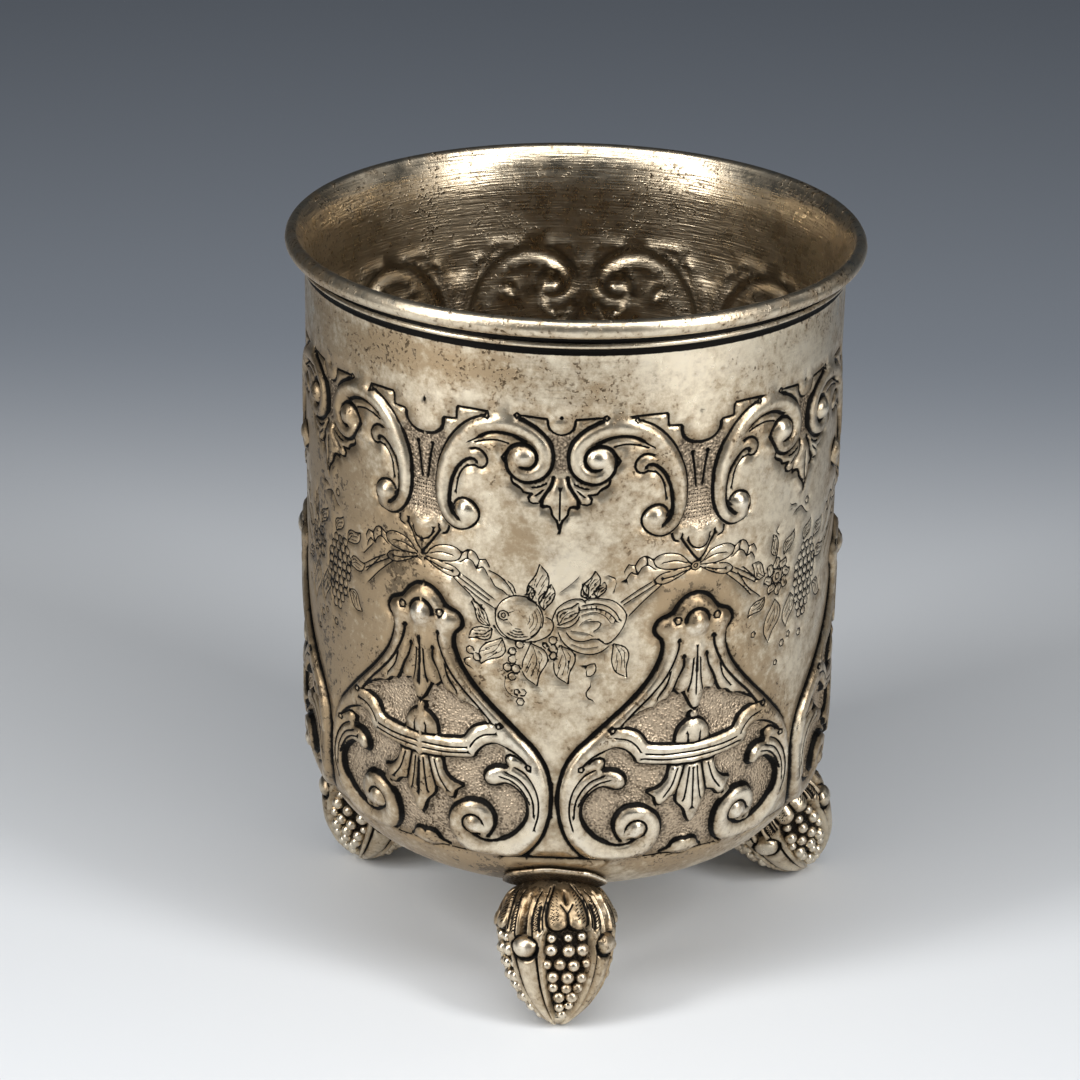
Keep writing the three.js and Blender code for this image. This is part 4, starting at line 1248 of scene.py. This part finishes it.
finish = {
    "polished": (0.93, 0.86, 0.72, 1),
    "worn": (0.74, 0.64, 0.48, 1),
    "tarnish": (0.32, 0.215, 0.11, 1),
    # painted shade near deep lines and on the plates, darkening round the feet's necks, and the dark of
    # pitting and grime
    "matted": (0.50, 0.395, 0.28, 1),
    "crevice": (0.05, 0.038, 0.026, 1),
    "speck": (0.07, 0.047, 0.026, 1),
    "oxide": (0.010, 0.009, 0.008, 1),
    "insideTarnishAndShade": (0.47, 0.39, 0.28, 1),      # inside the cup: tarnish, and painted shade darkening the whole inside
    "tarnishing": 0.85,                 # how much of the silver's colour the tarnish hides
    "specking": 0.85,
    "roughness": 0.3,
    "bump": 0.14,
    "lipZone": (86, 99),                # heights between which the specks grow dense
    # each noise: size in millimetres, detail, roughness
    "cloud": (13, 4, 0.68),
    "mottle": (2.6, 2, 0.65),
    "fine": (1.0, 3, 0.75),
    "grain": (0.5, 1, 0.6),
    "stipple": (0.32, 0, 0.5),
    "scratch": (1.3, 1, 0.5),
    "scratchAlong": (0.3, 0.3, 5.0),    # how the scratches' places are stretched
}


def silver(name, look):
    s = Shader(name)
    places = s.places()
    height = s.node("ShaderNodeSeparateXYZ", {}, {"Vector": places}).outputs["Z"]
    line, ground = s.attribute("line"), s.attribute("ground")
    closeness, raised = s.attribute("closeness"), s.attribute("raised")
    inner, stain = s.attribute("inner"), s.attribute("stain")
    cloud, mottle, fine, grain, stipple = [
        s.noise(places, *look[key]) for key in ("cloud", "mottle", "fine", "grain", "stipple")]
    scratch = s.noise(s.places(look["scratchAlong"]), *look["scratch"])
    nearLip = Amount(s, height).between(*look["lipZone"])

    # each is a weighted sum of noises and attributes, and what counts as none and as full
    # mostly tarnish; its closeness and stain terms bring in some painted shade
    tarnished = (cloud * 0.4 + mottle * 0.25 + fine * 0.35 - raised * 0.04 + closeness * 0.1
                 + stain * 0.3).between(0.41, 0.63)
    crowds = (cloud * 0.6 + mottle * 0.4 + nearLip * 0.06 + closeness * 0.06
              + stain * 0.1).between(0.53, 0.65)
    pitted = (stain * 0.85 + (mottle - 0.5) * 1.3 + (fine - 0.5) * 1.7).between(0.58, 0.86)
    specks = grain.between(0.56, 0.66) * crowds
    ink = (line + (mottle - 0.5) * 0.25 + (fine - 0.5) * 0.42).between(0.2, 0.52)
    polish = (raised.between(0.4, 1.3) * (1 - ground) * 0.6
              + (mottle * 0.5 + fine * 0.5).between(0.4, 0.65) * 0.6).between(0, 1)
    # painted shade from closeness and the shaded patches, together with pitting, stipple and random
    # darkening
    shadeAndGrime = (closeness * (0.9 + 0.3 * ground) + (mottle - 0.5) * 0.4 + ground * (stipple - 0.42) * 1.3
             + pitted).between(0.15, 1.0)

    # from the bare silver up: tarnish, the darker inside (tarnish with painted shade), matting, painted
    # shade with grime near the lines and in the stains, specks and oxide in the lines
    colour = s.mix(polish, look["worn"], look["polished"])
    colour = s.mix(tarnished * look["tarnishing"], colour, look["tarnish"])
    # the inside is painted darker: tarnish, and painted shade
    colour = s.mix(inner * (0.45 + 0.55 * tarnished), colour, look["insideTarnishAndShade"])
    colour = s.mix(ground, colour, look["matted"])
    colour = s.mix(shadeAndGrime * (0.64 + 0.2 * ground), colour, look["crevice"])
    colour = s.mix(specks * look["specking"], colour, look["speck"])
    colour = s.mix(ink, colour, look["oxide"])
    roughness = (look["roughness"] + 0.12 * tarnished + 0.12 * ground + 0.15 * ink - 0.04 * inner
                 - 0.04 * polish + (mottle - 0.5) * 0.2)
    uneven = stipple * (ground * 1.6 + specks * 0.5) + scratch * (0.12 + 0.33 * inner) + grain * 0.12
    bsdf = s.node("ShaderNodeBsdfPrincipled", {}, {
        "Base Color": colour, "Roughness": roughness, "Metallic": 1.0,
        "Normal": s.bump(uneven, look["bump"])})
    s.node("ShaderNodeOutputMaterial", {}, {"Surface": bsdf.outputs[0]})
    return s.material


chased = silver("chased silver", finish)
cast = silver("cast silver", {**finish, "matted": (0.012, 0.010, 0.008, 1)})    # black behind the berries

cupThing = makeCup()
cupThing.data.materials.append(chased)
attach(cupThing, "root")
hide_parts("cup_body")
makeFeet(cast)


camera = {
    "focal": 5152.34,           # pixels across the frame of frameWidth
    "frameWidth": 1080,
    "sensor": 36,
    "distance": 724.3,
    "elevation": 21.55,
    "azimuth": 2.5,             # the front of the cup is turned this far to the left
    "targetHeight": 58.05,
    "sideways": 4.18,           # the cup stands this far right of the picture's middle
    "roll": 1.07,
}


def makeCamera():
    data = bpy.data.cameras.new("camera")
    data.sensor_width = camera["sensor"]
    data.lens = camera["focal"] / camera["frameWidth"] * data.sensor_width
    thing = bpy.data.objects.new("camera", data)
    bpy.context.scene.collection.objects.link(thing)
    around, up = math.radians(camera["azimuth"]), math.radians(camera["elevation"])
    right = Vector((math.cos(around), math.sin(around), 0))
    back = Vector((math.sin(around) * math.cos(up), -math.cos(around) * math.cos(up), math.sin(up)))
    target = Vector((0, 0, camera["targetHeight"])) - right * camera["sideways"]
    thing.location = (target + back * camera["distance"]) * mm
    thing.rotation_euler = back.to_track_quat("Z", "Y").to_matrix().to_4x4().to_euler()
    thing.rotation_euler.rotate_axis("Z", math.radians(camera["roll"]))
    bpy.context.scene.camera = thing


makeCamera()

studio = {
    "floorSize": 6,                         # metres
    "floor": (0.74, 0.76, 0.78, 1),
    "shadedFarFloor": (0.41, 0.45, 0.51, 1),      # painted shade: the floor turns darker and bluer behind the cup, standing in for the light falling off,
    "farFrom": 100,                         # between these places behind it
    "farTo": 260,
    "floorRoughness": 0.65,
    "room": (0.30, 0.38, 0.50, 1),
    "roomStrength": 0.08,
    "aimHeight": 0.04,
    # each light: bearing from the cup's front in degrees to the right, height, distance, size, power
    # and how far in front of the cup's axis it is aimed
    "lights": [
        ("leftBox", -50, 0.27, 0.44, (0.12, 0.38), 1.75, 0),
        ("rightBox", 52, 0.27, 0.44, (0.12, 0.38), 1.6, 0),
        ("sideBox", 110, 0.26, 0.5, (0.10, 0.4), 0.1, 0),
        ("topBox", 0, 0.42, 0.24, (0.60, 0.14), 1.4, 0.2),
    ],
}


def makeStage():
    bpy.ops.mesh.primitive_plane_add(size=studio["floorSize"])
    floor = bpy.context.object
    floor.name = "floor"
    s = Shader("floor")
    back = s.node("ShaderNodeSeparateXYZ", {}, {"Vector": s.places()}).outputs["Y"]
    # painted shade: the floor's colour darkens with distance behind the cup
    far = Amount(s, back).between(studio["farFrom"], studio["farTo"])
    colour = s.mix(far, studio["floor"], studio["shadedFarFloor"])
    bsdf = s.node("ShaderNodeBsdfPrincipled", {}, {
        "Base Color": colour, "Roughness": studio["floorRoughness"]})
    s.node("ShaderNodeOutputMaterial", {}, {"Surface": bsdf.outputs[0]})
    floor.data.materials.append(s.material)
    scene = bpy.context.scene
    scene.view_settings.view_transform = "Standard"
    world = bpy.data.worlds.new("room")
    scene.world = world
    world.use_nodes = True
    background = world.node_tree.nodes["Background"]
    background.inputs["Color"].default_value = studio["room"]
    background.inputs["Strength"].default_value = studio["roomStrength"]
    for name, bearing, height, distance, size, power, inFront in studio["lights"]:
        data = bpy.data.lights.new(name, "AREA")
        data.shape = "RECTANGLE"
        data.size, data.size_y = size
        data.energy = power
        lamp = bpy.data.objects.new(name, data)
        a = math.radians(bearing)
        lamp.location = (distance * math.sin(a), -distance * math.cos(a), height)
        towards = Vector(lamp.location) - Vector((0, -inFront, studio["aimHeight"]))
        lamp.rotation_euler = towards.to_track_quat("Z", "Y").to_euler()
        scene.collection.objects.link(lamp)


makeStage()
